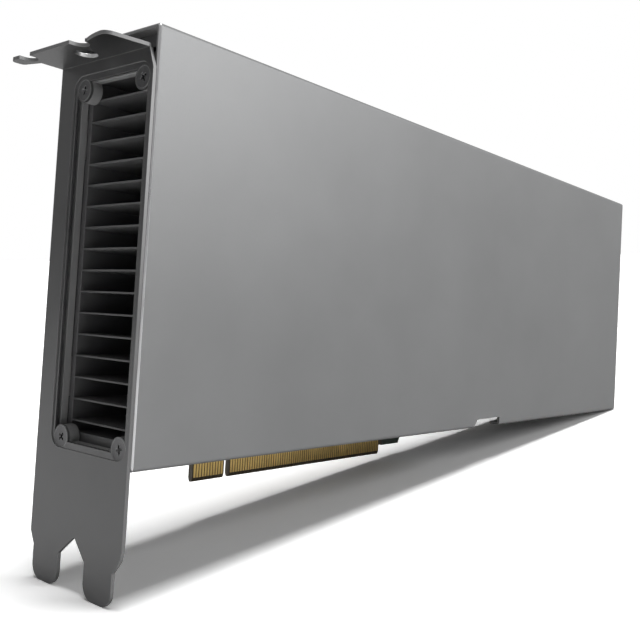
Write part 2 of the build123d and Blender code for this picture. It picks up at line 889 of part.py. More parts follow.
with BuildPart() as ceramic_capacitors:
    with BuildSketch(component_plane(0)):
        with Locations((bracket_face + ceramic_distance, power_middle_height)):
            with GridLocations(ceramic_pitch, ceramic_pitch, 1, ceramic_count):
                Rectangle(ceramic_length, ceramic_width)
    extrude(amount=ceramic_height)
save(ceramic_capacitors.part, "ceramic_capacitors")

with BuildPart() as power_controller:
    with BuildSketch(component_plane(0)):
        controller_x = bracket_face + controller_distance
        controller_z = far_edge_rise + controller_low_margin
        with Locations((controller_x, controller_z), (controller_x, controller_z + controller_spacing)):
            Rectangle(controller_side, controller_side)
    extrude(amount=controller_height)
save(power_controller.part, "power_controllers")

with BuildPart() as firmware_chip:
    with BuildSketch(component_plane(0)):
        with Locations((bracket_face + firmware_distance, far_edge_rise + firmware_margin)):
            Rectangle(firmware_length, firmware_width)
    extrude(amount=firmware_height)
save(firmware_chip.part, "firmware_chip")

with BuildPart() as clock_crystal:
    with BuildSketch(component_plane(0)):
        with Locations((bracket_face + crystal_distance, processor_height)):
            RectangleRounded(crystal_length, crystal_width, crystal_height / 2)
    extrude(amount=crystal_height)
save(clock_crystal.part, "clock_crystal")


# Power inlets that face the far end, with square cavities and a latch rib
inlet_mouth = far_end - inlet_far_gap
inlet_middle_y = component_face - inlet_height / 2
eight_pin_height = board_top - eight_pin_margin
six_pin_height = board_top - six_pin_margin


def inlet_cavities(height, columns):
    """Cavity places of one inlet, as (y, z)."""
    return [
        (
            inlet_middle_y + (row - (inlet_row_count - 1) / 2) * inlet_pitch,
            height + (column - (columns - 1) / 2) * inlet_pitch,
        )
        for row in range(inlet_row_count)
        for column in range(columns)
    ]


def power_inlet(height, columns):
    """Housing of one power inlet, centred at a height above the contact tips."""
    inlet_width = columns * inlet_pitch + 2 * inlet_wall
    with BuildPart() as housing:
        with BuildSketch(Plane.YZ.offset(inlet_mouth)):
            with Locations((inlet_middle_y, height)):
                Rectangle(inlet_height, inlet_width)
        extrude(amount=-inlet_depth)
        with BuildSketch(Plane.YZ.offset(inlet_mouth)):
            with Locations((inlet_middle_y - inlet_height / 2 - inlet_rib_height / 2, height)):
                Rectangle(inlet_rib_height, inlet_rib_width)
        extrude(amount=-inlet_rib_length)
        with BuildSketch(Plane.YZ.offset(inlet_mouth)):
            with Locations(*inlet_cavities(height, columns)):
                Rectangle(inlet_cavity, inlet_cavity)
        extrude(amount=-inlet_cavity_depth, mode=Mode.SUBTRACT)
    return housing.part


save(power_inlet(eight_pin_height, eight_pin_column_count), "eight_pin_power_inlet")
save(power_inlet(six_pin_height, six_pin_column_count), "six_pin_power_inlet")

with BuildPart() as power_inlet_pins:
    pin_root = inlet_mouth - inlet_cavity_depth
    with BuildSketch(Plane.YZ.offset(pin_root)):
        with Locations(*inlet_cavities(eight_pin_height, eight_pin_column_count)):
            Rectangle(inlet_pin_width, inlet_pin_width)
        with Locations(*inlet_cavities(six_pin_height, six_pin_column_count)):
            Rectangle(inlet_pin_width, inlet_pin_width)
    extrude(amount=inlet_pin_length)
save(power_inlet_pins.part, "power_inlet_pins")


# Threaded posts between board and cover at the far end
rear_post_height = -(cover_inside + rear_post_cover_gap) + component_face
rear_thread_y = (component_face + cover_inside) / 2

with BuildPart() as lower_rear_post:
    with BuildSketch(component_plane(0)):
        with Locations((rear_post_x, lower_post_z)):
            Rectangle(rear_post_length, rear_post_width)
    extrude(amount=rear_post_height)
    with BuildSketch(component_plane(0)):
        with Locations((rear_post_x, lower_post_z)):
            Circle(pan_shank_diameter / 2 + post_hole_clearance)
    extrude(amount=frame_screw_grip, mode=Mode.SUBTRACT)
    with BuildSketch(Plane.YZ.offset(far_end - rear_post_end_gap)):
        with Locations((rear_thread_y, lower_post_z)):
            Circle(rear_thread_diameter / 2)
    extrude(amount=-rear_thread_depth, mode=Mode.SUBTRACT)
save(lower_rear_post.part, "lower_rear_post")

with BuildPart() as upper_rear_post:
    with BuildSketch(component_plane(0)):
        with Locations((rear_post_x, upper_post_z)):
            Rectangle(rear_post_length, rear_post_width)
    extrude(amount=rear_post_height)
    with BuildSketch(component_plane(0)):
        with Locations((rear_post_x, upper_post_z)):
            Circle(pan_shank_diameter / 2 + post_hole_clearance)
    extrude(amount=frame_screw_grip, mode=Mode.SUBTRACT)
    with BuildSketch(Plane.YZ.offset(far_end - rear_post_end_gap)):
        with Locations((rear_thread_y, upper_post_z)):
            Circle(rear_thread_diameter / 2)
    extrude(amount=-rear_thread_depth, mode=Mode.SUBTRACT)
    with BuildSketch(Plane.XY.offset(cover_top)):
        with Locations(cover_screw_points[-1]):
            Circle(flat_head_diameter / 2 + screw_clearance)
    extrude(amount=-flat_head_depth, taper=flat_cone_angle / 2, mode=Mode.SUBTRACT)
    with BuildSketch(Plane.XY.offset(cover_ceiling)):
        with Locations(cover_screw_points[-1]):
            Circle(flat_shank_diameter / 2 + screw_clearance)
    extrude(amount=-cover_screw_length + cover_sheet, mode=Mode.SUBTRACT)
save(upper_rear_post.part, "upper_rear_post")
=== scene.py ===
"""Visual model of a passive accelerator card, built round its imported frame."""

import logging
import math
from contextlib import contextmanager
from dataclasses import dataclass
from enum import Enum
from typing import Callable, Iterator, Sequence

import bmesh
import bpy
from mathutils import Matrix, Vector


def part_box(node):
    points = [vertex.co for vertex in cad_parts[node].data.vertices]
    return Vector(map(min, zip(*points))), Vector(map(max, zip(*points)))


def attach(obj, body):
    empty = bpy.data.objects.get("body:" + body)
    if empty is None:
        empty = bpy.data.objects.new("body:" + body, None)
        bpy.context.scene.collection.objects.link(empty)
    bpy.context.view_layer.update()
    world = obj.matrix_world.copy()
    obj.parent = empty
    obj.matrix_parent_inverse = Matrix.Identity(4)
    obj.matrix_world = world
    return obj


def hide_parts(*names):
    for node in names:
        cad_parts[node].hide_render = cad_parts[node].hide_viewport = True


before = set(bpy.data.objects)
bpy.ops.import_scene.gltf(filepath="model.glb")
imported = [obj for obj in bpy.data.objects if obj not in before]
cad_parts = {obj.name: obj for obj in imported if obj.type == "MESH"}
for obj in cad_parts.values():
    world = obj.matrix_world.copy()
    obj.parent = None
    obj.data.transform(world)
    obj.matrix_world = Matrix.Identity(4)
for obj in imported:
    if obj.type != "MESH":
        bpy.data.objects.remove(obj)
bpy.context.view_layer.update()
LOG = logging.getLogger("accelerator_card")
MM = 0.001
MERGE_REACH = 1e-6
FLAT_ANGLE = 0.5
STRAIGHT = 0.9
EDGE_ON = 0.2
FULL_RANGE = (0.0, 1.0)
MIDDLE_RANGE = (0.3, 0.7)
WIDE_RANGE = (0.2, 0.8)
Piece = bpy.types.Object
Material = bpy.types.Material
Socket = bpy.types.NodeSocket
Colour = tuple[float, float, float]
Shade = Colour | Socket
Box = tuple[Vector, Vector]
FaceTest = Callable[[Vector, Vector], bool]


class Facing(Enum):
    """Sides of the card, as unit directions in the row frame."""

    BRACKET = (-1.0, 0.0, 0.0)
    COVER = (0.0, -1.0, 0.0)
    SOLDER = (0.0, 1.0, 0.0)
    TOP = (0.0, 0.0, 1.0)

    @property
    def turn(self) -> Matrix:
        """Rotation that takes +Z to this side."""
        return Vector((0, 0, 1)).rotation_difference(Vector(self.value)).to_matrix().to_4x4()


def focus(piece: Piece) -> None:
    """Make one piece the only selected object and the active one.

    Args:
        piece: The object.
    """
    bpy.ops.object.select_all(action="DESELECT")
    piece.select_set(True)
    bpy.context.view_layer.objects.active = piece


@contextmanager
def editing(piece: Piece) -> Iterator[None]:
    """Open a piece in edit mode with nothing selected, and close it afterwards.

    Args:
        piece: The object.
    """
    focus(piece)
    bpy.ops.object.mode_set(mode="EDIT")
    bpy.ops.mesh.select_mode(type="FACE")
    bpy.ops.mesh.select_all(action="DESELECT")
    try:
        yield
    finally:
        bpy.ops.object.mode_set(mode="OBJECT")


def looks(x: float = 0.0, y: float = 0.0, z: float = 0.0) -> FaceTest:
    """Test for faces that look along a unit direction."""
    along = Vector((x, y, z))
    return lambda centre, normal: normal.dot(along) > STRAIGHT


def pick_faces(piece: Piece, test: FaceTest) -> int:
    """Select the faces that pass a test, in edit mode.

    Args:
        piece: The object being edited.
        test: Takes a face's centre and normal and says whether it is wanted.

    Returns:
        The number of faces selected.
    """
    mesh = bmesh.from_edit_mesh(piece.data)
    mesh.normal_update()
    wanted = 0
    for face in mesh.faces:
        chosen = test(face.calc_center_median(), face.normal)
        face.select_set(chosen)
        wanted += chosen
    mesh.select_flush(True)
    bmesh.update_edit_mesh(piece.data)
    return wanted


def mark_faces(piece: Piece, test: FaceTest, slot: int = 1) -> None:
    """Give the faces that pass a test another of a piece's materials.

    Args:
        piece: The object to mark, before its edges are rounded.
        test: Takes a face's centre and normal and says whether it is wanted.
        slot: Index of the material that they get.
    """
    with editing(piece):
        chosen = pick_faces(piece, test)
    while len(piece.data.materials) <= slot:
        piece.data.materials.append(None)
    for polygon in piece.data.polygons:
        if polygon.select:
            polygon.material_index = slot
    LOG.info("%s: %d faces marked", piece.name, chosen)


def extrude(x: float, y: float, z: float) -> None:
    """Extrude the selected faces by an offset."""
    bpy.ops.mesh.extrude_region_move(TRANSFORM_OT_translate={"value": (x, y, z)})


def narrow(across: float, along: float) -> None:
    """Scale what is selected in X and Y, about its middle."""
    bpy.ops.transform.resize(value=(across, along, 1.0))


def settle(piece: Piece) -> Piece:
    """Move a piece's place, turn and scale into its mesh.

    Args:
        piece: The object.

    Returns:
        The same object.
    """
    focus(piece)
    bpy.ops.object.transform_apply(location=True, rotation=True, scale=True)
    return piece


def apply_all(piece: Piece) -> None:
    """Apply a piece's modifiers in order.

    Args:
        piece: The object.
    """
    focus(piece)
    for name in [modifier.name for modifier in piece.modifiers]:
        bpy.ops.object.modifier_apply(modifier=name)


def round_edges(piece: Piece, width: float, segments: int = 2, angle: float = 32.0) -> None:
    """Round a piece's sharp edges and smooth its shading.

    Args:
        piece: The object to finish.
        width: Width of the rounding, in metres.
        segments: Number of faces across the rounding.
        angle: Smallest angle between faces that counts as an edge, in degrees.
    """
    focus(piece)
    bpy.ops.object.shade_smooth_by_angle(angle=math.radians(angle))
    bevel = piece.modifiers.new("edge_rounding", "BEVEL")
    bevel.width = width
    bevel.segments = segments
    bevel.limit_method = "ANGLE"
    bevel.angle_limit = math.radians(angle)
    bevel.use_clamp_overlap = False
    bevel.harden_normals = True
    apply_all(piece)


def cut_away(piece: Piece, cutter: Piece) -> None:
    """Cut one piece's volume out of another and delete the cutter.

    Args:
        piece: The object that is cut.
        cutter: The object whose volume goes.
    """
    settle(cutter)
    cut = piece.modifiers.new("cut", "BOOLEAN")
    cut.operation = "DIFFERENCE"
    cut.solver = "EXACT"
    cut.object = cutter
    apply_all(piece)
    bpy.data.objects.remove(cutter, do_unlink=True)


def put_in_scene(name: str, data: bpy.types.ID) -> Piece:
    """Make an object of a mesh, lamp or camera and link it to the scene.

    Args:
        name: Name of the object.
        data: What it shows.

    Returns:
        The new object.
    """
    item = bpy.data.objects.new(name, data)
    bpy.context.scene.collection.objects.link(item)
    return item


def cad_copy(node: str, name: str) -> Piece:
    """Copy a CAD node's mesh as a new piece with merged corners and whole flat faces.

    Args:
        node: Name of the CAD node.
        name: Name of the new piece.

    Returns:
        The new object, in the node's place.
    """
    piece = put_in_scene(name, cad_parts[node].data.copy())
    focus(piece)
    bpy.ops.mesh.customdata_custom_splitnormals_clear()
    with editing(piece):
        bpy.ops.mesh.select_all(action="SELECT")
        bpy.ops.mesh.remove_doubles(threshold=MERGE_REACH)
        bpy.ops.mesh.dissolve_limited(angle_limit=math.radians(FLAT_ANGLE), delimit=set())
    return piece


def copy_to(pattern: Piece, name: str, place: Matrix) -> Piece:
    """Copy a finished pattern to a place, with a mesh of its own.

    Args:
        pattern: The finished object.
        name: Name of the copy.
        place: Where the copy goes.

    Returns:
        The copy, with its place in its mesh.
    """
    mesh = pattern.data.copy()
    mesh.transform(place)
    return put_in_scene(name, mesh)


def join(pieces: Sequence[Piece], name: str) -> Piece:
    """Join several objects into the first and name it.

    Args:
        pieces: The objects.
        name: Name of the joined piece.

    Returns:
        The joined piece.
    """
    focus(pieces[0])
    for piece in pieces[1:]:
        piece.select_set(True)
    bpy.ops.object.join()
    pieces[0].name = name
    return pieces[0]


def add_box(name: str, low: Sequence[float], high: Sequence[float]) -> Piece:
    """Add a cube primitive sized and placed between two corners.

    Args:
        name: Name of the object.
        low: Lowest corner, in metres.
        high: Highest corner, in metres.

    Returns:
        The box, settled in its mesh.
    """
    low_corner, high_corner = Vector(low), Vector(high)
    bpy.ops.mesh.primitive_cube_add(size=1.0, location=(low_corner + high_corner) / 2)
    box = bpy.context.active_object
    box.scale = high_corner - low_corner
    box.name = name
    return settle(box)


def seat(piece: Piece, materials: Sequence[Material], nodes: Sequence[str] = ()) -> None:
    """Dress a finished piece, put it on the card's body and report it.

    Args:
        piece: The finished object.
        materials: Its materials, in slot order.
        nodes: CAD nodes that it stands for.
    """
    indices = [polygon.material_index for polygon in piece.data.polygons]
    piece.data.materials.clear()
    for material in materials:
        piece.data.materials.append(material)
    for polygon, index in zip(piece.data.polygons, indices):
        polygon.material_index = min(index, len(materials) - 1)
    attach(piece, "root")
    if nodes:
        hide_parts(*nodes)
    LOG.info("%s: %d faces", piece.name, len(piece.data.polygons))


def dress_copy(
    node: str, name: str, material: Material, slot: str, width: float, segments: int = 2
) -> None:
    """Stand a rounded and dressed copy in the place of a CAD node.

    Args:
        node: Name of the CAD node.
        name: Name of the new piece.
        material: Its one material.
        slot: Not used.
        width: Width of its rounded edges, in metres.
        segments: Number of faces across the rounding.
    """
    piece = cad_copy(node, name)
    round_edges(piece, width, segments)
    seat(piece, [material], [node])


def paint(node: str, material: Material) -> None:
    """Give a CAD node a finish and report it.

    Args:
        node: Name of the CAD node.
        material: Its finish.
    """
    for material_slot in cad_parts[node].material_slots:
        material_slot.material = material
    LOG.info("%s: painted", node)


def grey(level: float) -> Colour:
    """Colour with three equal channels."""
    return (level,) * 3


def toned(colour: Colour, share: float) -> Colour:
    """Scale a colour's channels, held at 1."""
    return tuple(min(1.0, channel * share) for channel in colour)


def around(middle: float, reach: float) -> tuple[float, float]:
    """Range that reaches equally far each side of a value."""
    return middle - reach, middle + reach


class NodeSheet:
    """Node tree of a material or world, with short ways to add and join nodes."""

    def __init__(self, owner: Material | bpy.types.World, coordinates: str = "Object") -> None:
        """Open the node tree.

        Args:
            owner: The material or world.
            coordinates: Which coordinates its patterns read.
        """
        owner.use_nodes = True
        self.owner = owner
        self.nodes = owner.node_tree.nodes
        self.place = self.add("ShaderNodeTexCoord", coordinates)

    def feed(self, target: Socket, value: Socket | float | Sequence[float]) -> None:
        """Join a socket to another, or write a plain value into it.

        Args:
            target: The socket that takes the value.
            value: The socket or plain value.
        """
        if isinstance(value, Socket):
            self.owner.node_tree.links.new(value, target)
        else:
            target.default_value = value

    def add(
        self, kind: str, output: str | int, inputs: dict | None = None, **settings: str | int
    ) -> Socket:
        """Add a node.

        Args:
            kind: Blender's name of the node type.
            output: Name or index of the output that is wanted.
            inputs: Sockets or plain values, by the name or index of the input.
            **settings: Options of the node.

        Returns:
            The wanted output.
        """
        node = self.nodes.new(kind)
        for name, value in settings.items():
            setattr(node, name, value)
        for key, value in (inputs or {}).items():
            self.feed(node.inputs[key], value)
        return node.outputs[output]

    def first(self, kind: str) -> bpy.types.Node:
        """First node of a type."""
        return next(node for node in self.nodes if node.type == kind)

    def stretch(self, scale: Sequence[float]) -> Socket:
        """Coordinates stretched along the axes."""
        return self.add("ShaderNodeMapping", "Vector", {"Vector": self.place, "Scale": scale})

    def noise(
        self, scale: float, detail: float = 2.0, roughness: float = 0.5, vector: Socket | None = None
    ) -> Socket:
        """Noise value between 0 and 1.

        Args:
            scale: Cells in a metre.
            detail: Octaves of finer noise.
            roughness: Weight of the finer octaves.
            vector: Coordinates to read, or None for the sheet's.

        Returns:
            The value socket.
        """
        inputs = {"Scale": scale, "Detail": detail, "Roughness": roughness}
        return self.add("ShaderNodeTexNoise", "Fac", inputs | {"Vector": vector or self.place})

    def cells(self, scale: float) -> Socket:
        """Distance to the nearest point of a random cell pattern."""
        return self.add("ShaderNodeTexVoronoi", "Distance", {"Scale": scale, "Vector": self.place})

    def spread(
        self,
        value: Socket,
        source: tuple[float, float],
        target: tuple[float, float] = FULL_RANGE,
        curve: str = "LINEAR",
    ) -> Socket:
        """Map a value from one range to another, held at its ends.

        Args:
            value: The value socket.
            source: Range that it is read over.
            target: Range that it gets.
            curve: How it runs from end to end.

        Returns:
            The mapped value.
        """
        inputs = {"Value": value, "From Min": source[0], "From Max": source[1]}
        inputs |= {"To Min": target[0], "To Max": target[1]}
        return self.add("ShaderNodeMapRange", "Result", inputs, interpolation_type=curve)

    def math(self, operation: str, first: Socket | float, second: Socket | float = 0.0) -> Socket:
        """Result of one math operation on sockets or numbers."""
        return self.add("ShaderNodeMath", "Value", {0: first, 1: second}, operation=operation)

    def agreement(self, first: Socket, second: Socket | Sequence[float]) -> Socket:
        """Cosine between two unit directions."""
        return self.add("ShaderNodeVectorMath", "Value", {0: first, 1: second}, operation="DOT_PRODUCT")

    def mix(self, factor: Socket, first: Shade, second: Shade) -> Socket:
        """Mix two colours, by the share of the second."""
        low, high = (shade if isinstance(shade, Socket) else (*shade, 1.0) for shade in (first, second))
        return self.add("ShaderNodeMix", 2, {0: factor, 6: low, 7: high}, data_type="RGBA")

    def part(self, axis: str, vector: Socket | None = None) -> Socket:
        """One coordinate of a vector, or of the sheet's coordinates."""
        return self.add("ShaderNodeSeparateXYZ", axis, {"Vector": vector or self.place})

    def surface(self, name: str) -> Socket:
        """The surface's own normal or its position in the world."""
        return self.add("ShaderNodeNewGeometry", name)

    def ray(self, name: str) -> Socket:
        """One of the answers on what kind of ray is traced."""
        return self.add("ShaderNodeLightPath", name)

    def bump(self, height: Socket, depth: float, below: Socket | None = None) -> Socket:
        """Bump from a height between 0 and 1.

        Args:
            height: The height value.
            depth: Height of 1, in metres.
            below: A bump to add to.

        Returns:
            The normal socket.
        """
        inputs = {"Height": height, "Distance": depth}
        if below is not None:
            inputs["Normal"] = below
        return self.add("ShaderNodeBump", "Normal", inputs)

    def wear(self, radius: float) -> Socket:
        """Mask that rises to 1 on outer and inner edges within a radius."""
        rounded = self.add("ShaderNodeBevel", "Normal", {"Radius": radius}, samples=4)
        return self.spread(self.agreement(rounded, self.surface("Normal")), (0.995, 0.86))

    def finish(
        self, colour: Socket, roughness: Socket, normal: Socket, metallic: Socket | float
    ) -> Material:
        """Join the shader's inputs.

        Args:
            colour: Base colour.
            roughness: Roughness.
            normal: Bumped normal.
            metallic: 1 for bare metal, 0 for the rest.

        Returns:
            The finished material.
        """
        inputs = {"Base Color": colour, "Roughness": roughness, "Normal": normal, "Metallic": metallic}
        shader = self.first("BSDF_PRINCIPLED")
        for name, value in inputs.items():
            self.feed(shader.inputs[name], value)
        return self.owner


def blank_finish(name: str) -> NodeSheet:
    """Node sheet of a new material."""
    return NodeSheet(bpy.data.materials.new(name))


@dataclass(frozen=True)
class SatinMetal:
    """Blasted, cast or plated metal with fine grain and slow patches of tone."""

    name: str
    colour: Colour
    roughness: float
    metallic: float = 1.0
    grain: float = 2600.0
    grain_depth: float = 0.012 * MM
    grain_unevenness: float = 0.05
    mottle: float = 0.10
    patches: float = 28.0
    patch_unevenness: float = 0.03
    worn: Colour | None = None
    worn_radius: float = 0.3 * MM

    def build(self) -> Material:
        """Make the material.

        Returns:
            The material.
        """
        sheet = blank_finish(self.name)
        grain = sheet.noise(self.grain, 3.0, 0.6)
        slow = sheet.noise(self.patches, 4.0, 0.55)
        light = toned(self.colour, 1 + self.mottle)
        patchy = sheet.mix(sheet.spread(slow, MIDDLE_RANGE), toned(self.colour, 1 - self.mottle), light)
        tone = sheet.mix(sheet.spread(grain, (0.25, 0.75), (0.0, 0.5)), patchy, light)
        if self.worn:
            rubbed = sheet.spread(slow, (0.25, 0.6), (0.35, 1.0))
            tone = sheet.mix(sheet.math("MULTIPLY", sheet.wear(self.worn_radius), rubbed), tone, self.worn)
        fine = sheet.spread(grain, WIDE_RANGE, around(0.0, self.grain_unevenness))
        broad = sheet.spread(slow, WIDE_RANGE, around(self.roughness, self.patch_unevenness))
        normal = sheet.bump(grain, self.grain_depth)
        return sheet.finish(tone, sheet.math("ADD", fine, broad), normal, self.metallic)


@dataclass(frozen=True)
class DrawnMetal:
    """Drawn, milled or stamped metal with fine lines along one axis."""

    name: str
    colour: Colour
    roughness: float
    lines: tuple[float, float, float]
    line_depth: float = 0.006 * MM
    unevenness: float = 0.06
    worn: Colour | None = None
    worn_radius: float = 0.2 * MM

    def build(self) -> Material:
        """Make the material.

        Returns:
            The material.
        """
        sheet = blank_finish(self.name)
        strokes = sheet.noise(1.0, 3.0, 0.6, sheet.stretch(self.lines))
        dark, light = toned(self.colour, 0.86), toned(self.colour, 1.1)
        tone = sheet.mix(sheet.spread(strokes, MIDDLE_RANGE), dark, light)
        if self.worn:
            tone = sheet.mix(sheet.wear(self.worn_radius), tone, self.worn)
        both = sheet.math("ADD", strokes, sheet.noise(40.0, 3.0))
        rough = sheet.spread(both, (0.6, 1.4), around(self.roughness, self.unevenness))
        return sheet.finish(tone, rough, sheet.bump(strokes, self.line_depth), 1.0)


@dataclass(frozen=True)
class Moulded:
    """Moulded plastic, rubber, ceramic or epoxy with a fine eroded texture."""

    name: str
    colour: Colour
    roughness: float
    texture: float = 3200.0
    texture_depth: float = 0.015 * MM
    unevenness: float = 0.06
    edge: Colour | None = None
    edge_radius: float = 0.15 * MM

    def build(self) -> Material:
        """Make the material.

        Returns:
            The material.
        """
        sheet = blank_finish(self.name)
        fine = sheet.noise(self.texture, 2.0, 0.6)
        tone = sheet.mix(sheet.noise(90.0, 3.0), toned(self.colour, 0.8), toned(self.colour, 1.25))
        if self.edge:
            tone = sheet.mix(sheet.wear(self.edge_radius), tone, self.edge)
        rough = sheet.spread(fine, WIDE_RANGE, around(self.roughness, self.unevenness))
        return sheet.finish(tone, rough, sheet.bump(fine, self.texture_depth), 0.0)


@dataclass(frozen=True)
class GoldPlate:
    """Hard gold over nickel on the card-edge contacts, with insertion marks."""

    name: str = "hard_gold"
    colour: Colour = (0.78, 0.55, 0.20)
    marks: tuple[float, float, float] = (2600.0, 2600.0, 260.0)
    mark_depth: float = 0.003 * MM
    roughness: tuple[float, float] = (0.22, 0.40)

    def build(self) -> Material:
        """Make the material.

        Returns:
            The material.
        """
        sheet = blank_finish(self.name)
        rub = sheet.noise(1.0, 2.0, 0.6, sheet.stretch(self.marks))
        slow = sheet.spread(sheet.noise(160.0), MIDDLE_RANGE)
        tone = sheet.mix(slow, toned(self.colour, 0.72), self.colour)
        rough = sheet.spread(rub, (0.25, 0.75), self.roughness)
        return sheet.finish(tone, rough, sheet.bump(rub, self.mark_depth), 1.0)


@dataclass(frozen=True)
class BoardLaminate:
    """Board with solder mask over copper on its faces and bare glass laminate on its edges."""

    name: str = "board_laminate"
    mask: Colour = (0.010, 0.020, 0.013)
    copper: Colour = (0.022, 0.040, 0.024)
    core: Colour = (0.070, 0.052, 0.026)
    bare_rise: float = 5.9 * MM
    bare_start: float = -13.2 * MM
    bare_end: float = 72.9 * MM
    track_rate: float = 1400.0
    track_height: float = 0.03 * MM
    via_rate: float = 330.0
    via_reach: float = 0.16
    layer_rate: float = 5200.0
    grain_depth: float = 0.008 * MM
    roughness: tuple[float, float] = (0.32, 0.46)

    def raised_copper(self, sheet: NodeSheet) -> Socket:
        """Tracks in lanes that bend and change direction, and filled areas.

        Args:
            sheet: The material's node sheet.

        Returns:
            Mask of the copper under the solder mask.
        """
        bend = sheet.math("ROUND", sheet.math("MULTIPLY", sheet.noise(60.0, 0.0), 9.0))
        bend = sheet.math("MULTIPLY", bend, 0.25)
        region = sheet.math("GREATER_THAN", sheet.noise(34.0, 0.0), 0.52)
        lanes = []
        for axis, share in (("Z", region), ("X", sheet.math("SUBTRACT", 1.0, region))):
            run = sheet.math("ADD", sheet.math("MULTIPLY", sheet.part(axis), self.track_rate), bend)
            lanes.append(sheet.math("MULTIPLY", sheet.math("PINGPONG", run, 1.0), share))
        track = sheet.spread(sheet.math("ADD", *lanes), (0.40, 0.55))
        return sheet.math("MAXIMUM", track, sheet.math("GREATER_THAN", sheet.noise(22.0, 1.0), 0.55))

    def bare_zone(self, sheet: NodeSheet) -> Socket:
        """Stretch along the contacts that has no solder mask.

        Args:
            sheet: The material's node sheet.

        Returns:
            Mask of that stretch.
        """
        across = sheet.part("X")
        start = sheet.math("GREATER_THAN", across, self.bare_start)
        inside = sheet.math("MULTIPLY", start, sheet.math("LESS_THAN", across, self.bare_end))
        return sheet.math("MULTIPLY", sheet.math("LESS_THAN", sheet.part("Z"), self.bare_rise), inside)

    def build(self) -> Material:
        """Make the material.

        Returns:
            The material.
        """
        sheet = blank_finish(self.name)
        raised = self.raised_copper(sheet)
        via = sheet.math("LESS_THAN", sheet.cells(self.via_rate), self.via_reach)
        face = sheet.mix(via, sheet.mix(raised, self.mask, self.copper), toned(self.copper, 1.7))
        face = sheet.mix(self.bare_zone(sheet), face, toned(self.core, 0.8))
        layers = sheet.math("PINGPONG", sheet.math("MULTIPLY", sheet.part("Y"), self.layer_rate), 1.0)
        threads = sheet.math("MULTIPLY", layers, sheet.noise(1800.0))
        glass = sheet.mix(threads, self.core, toned(self.core, 1.8))
        outward = sheet.math("ABSOLUTE", sheet.part("Y", sheet.surface("Normal")))
        tone = sheet.mix(sheet.math("GREATER_THAN", outward, STRAIGHT), glass, face)
        rough = sheet.spread(sheet.noise(500.0, 3.0), WIDE_RANGE, self.roughness)
        step = sheet.bump(sheet.math("MAXIMUM", raised, via), self.track_height)
        return sheet.finish(tone, rough, sheet.bump(sheet.noise(2400.0), self.grain_depth, step), 0.0)


@dataclass(frozen=True)
class EndedChip:
    """Small ceramic part whose ends are tinned, told by the distance from its middle along X."""

    name: str
    middle: float
    pitch: float
    body_half: float
    body: Colour = (0.30, 0.20, 0.11)
    tin: Colour = grey(0.62)
    grain_depth: float = 0.01 * MM
    pitches_back: int = 40

    def build(self) -> Material:
        """Make the material.

        Returns:
            The material.
        """
        sheet = blank_finish(self.name)
        along = sheet.math("SUBTRACT", sheet.part("X"), self.middle)
        along = sheet.math("ADD", along, self.pitch * self.pitches_back)
        along = sheet.math("FLOORED_MODULO", sheet.math("ADD", along, self.pitch / 2), self.pitch)
        place = sheet.math("SUBTRACT", along, self.pitch / 2)
        tinned = sheet.math("GREATER_THAN", sheet.math("ABSOLUTE", place), self.body_half)
        fine = sheet.noise(3000.0)
        clay = sheet.mix(fine, toned(self.body, 0.85), toned(self.body, 1.15))
        tone = sheet.mix(tinned, clay, self.tin)
        rough = sheet.spread(tinned, FULL_RANGE, (0.55, 0.32))
        return sheet.finish(tone, rough, sheet.bump(fine, self.grain_depth), tinned)


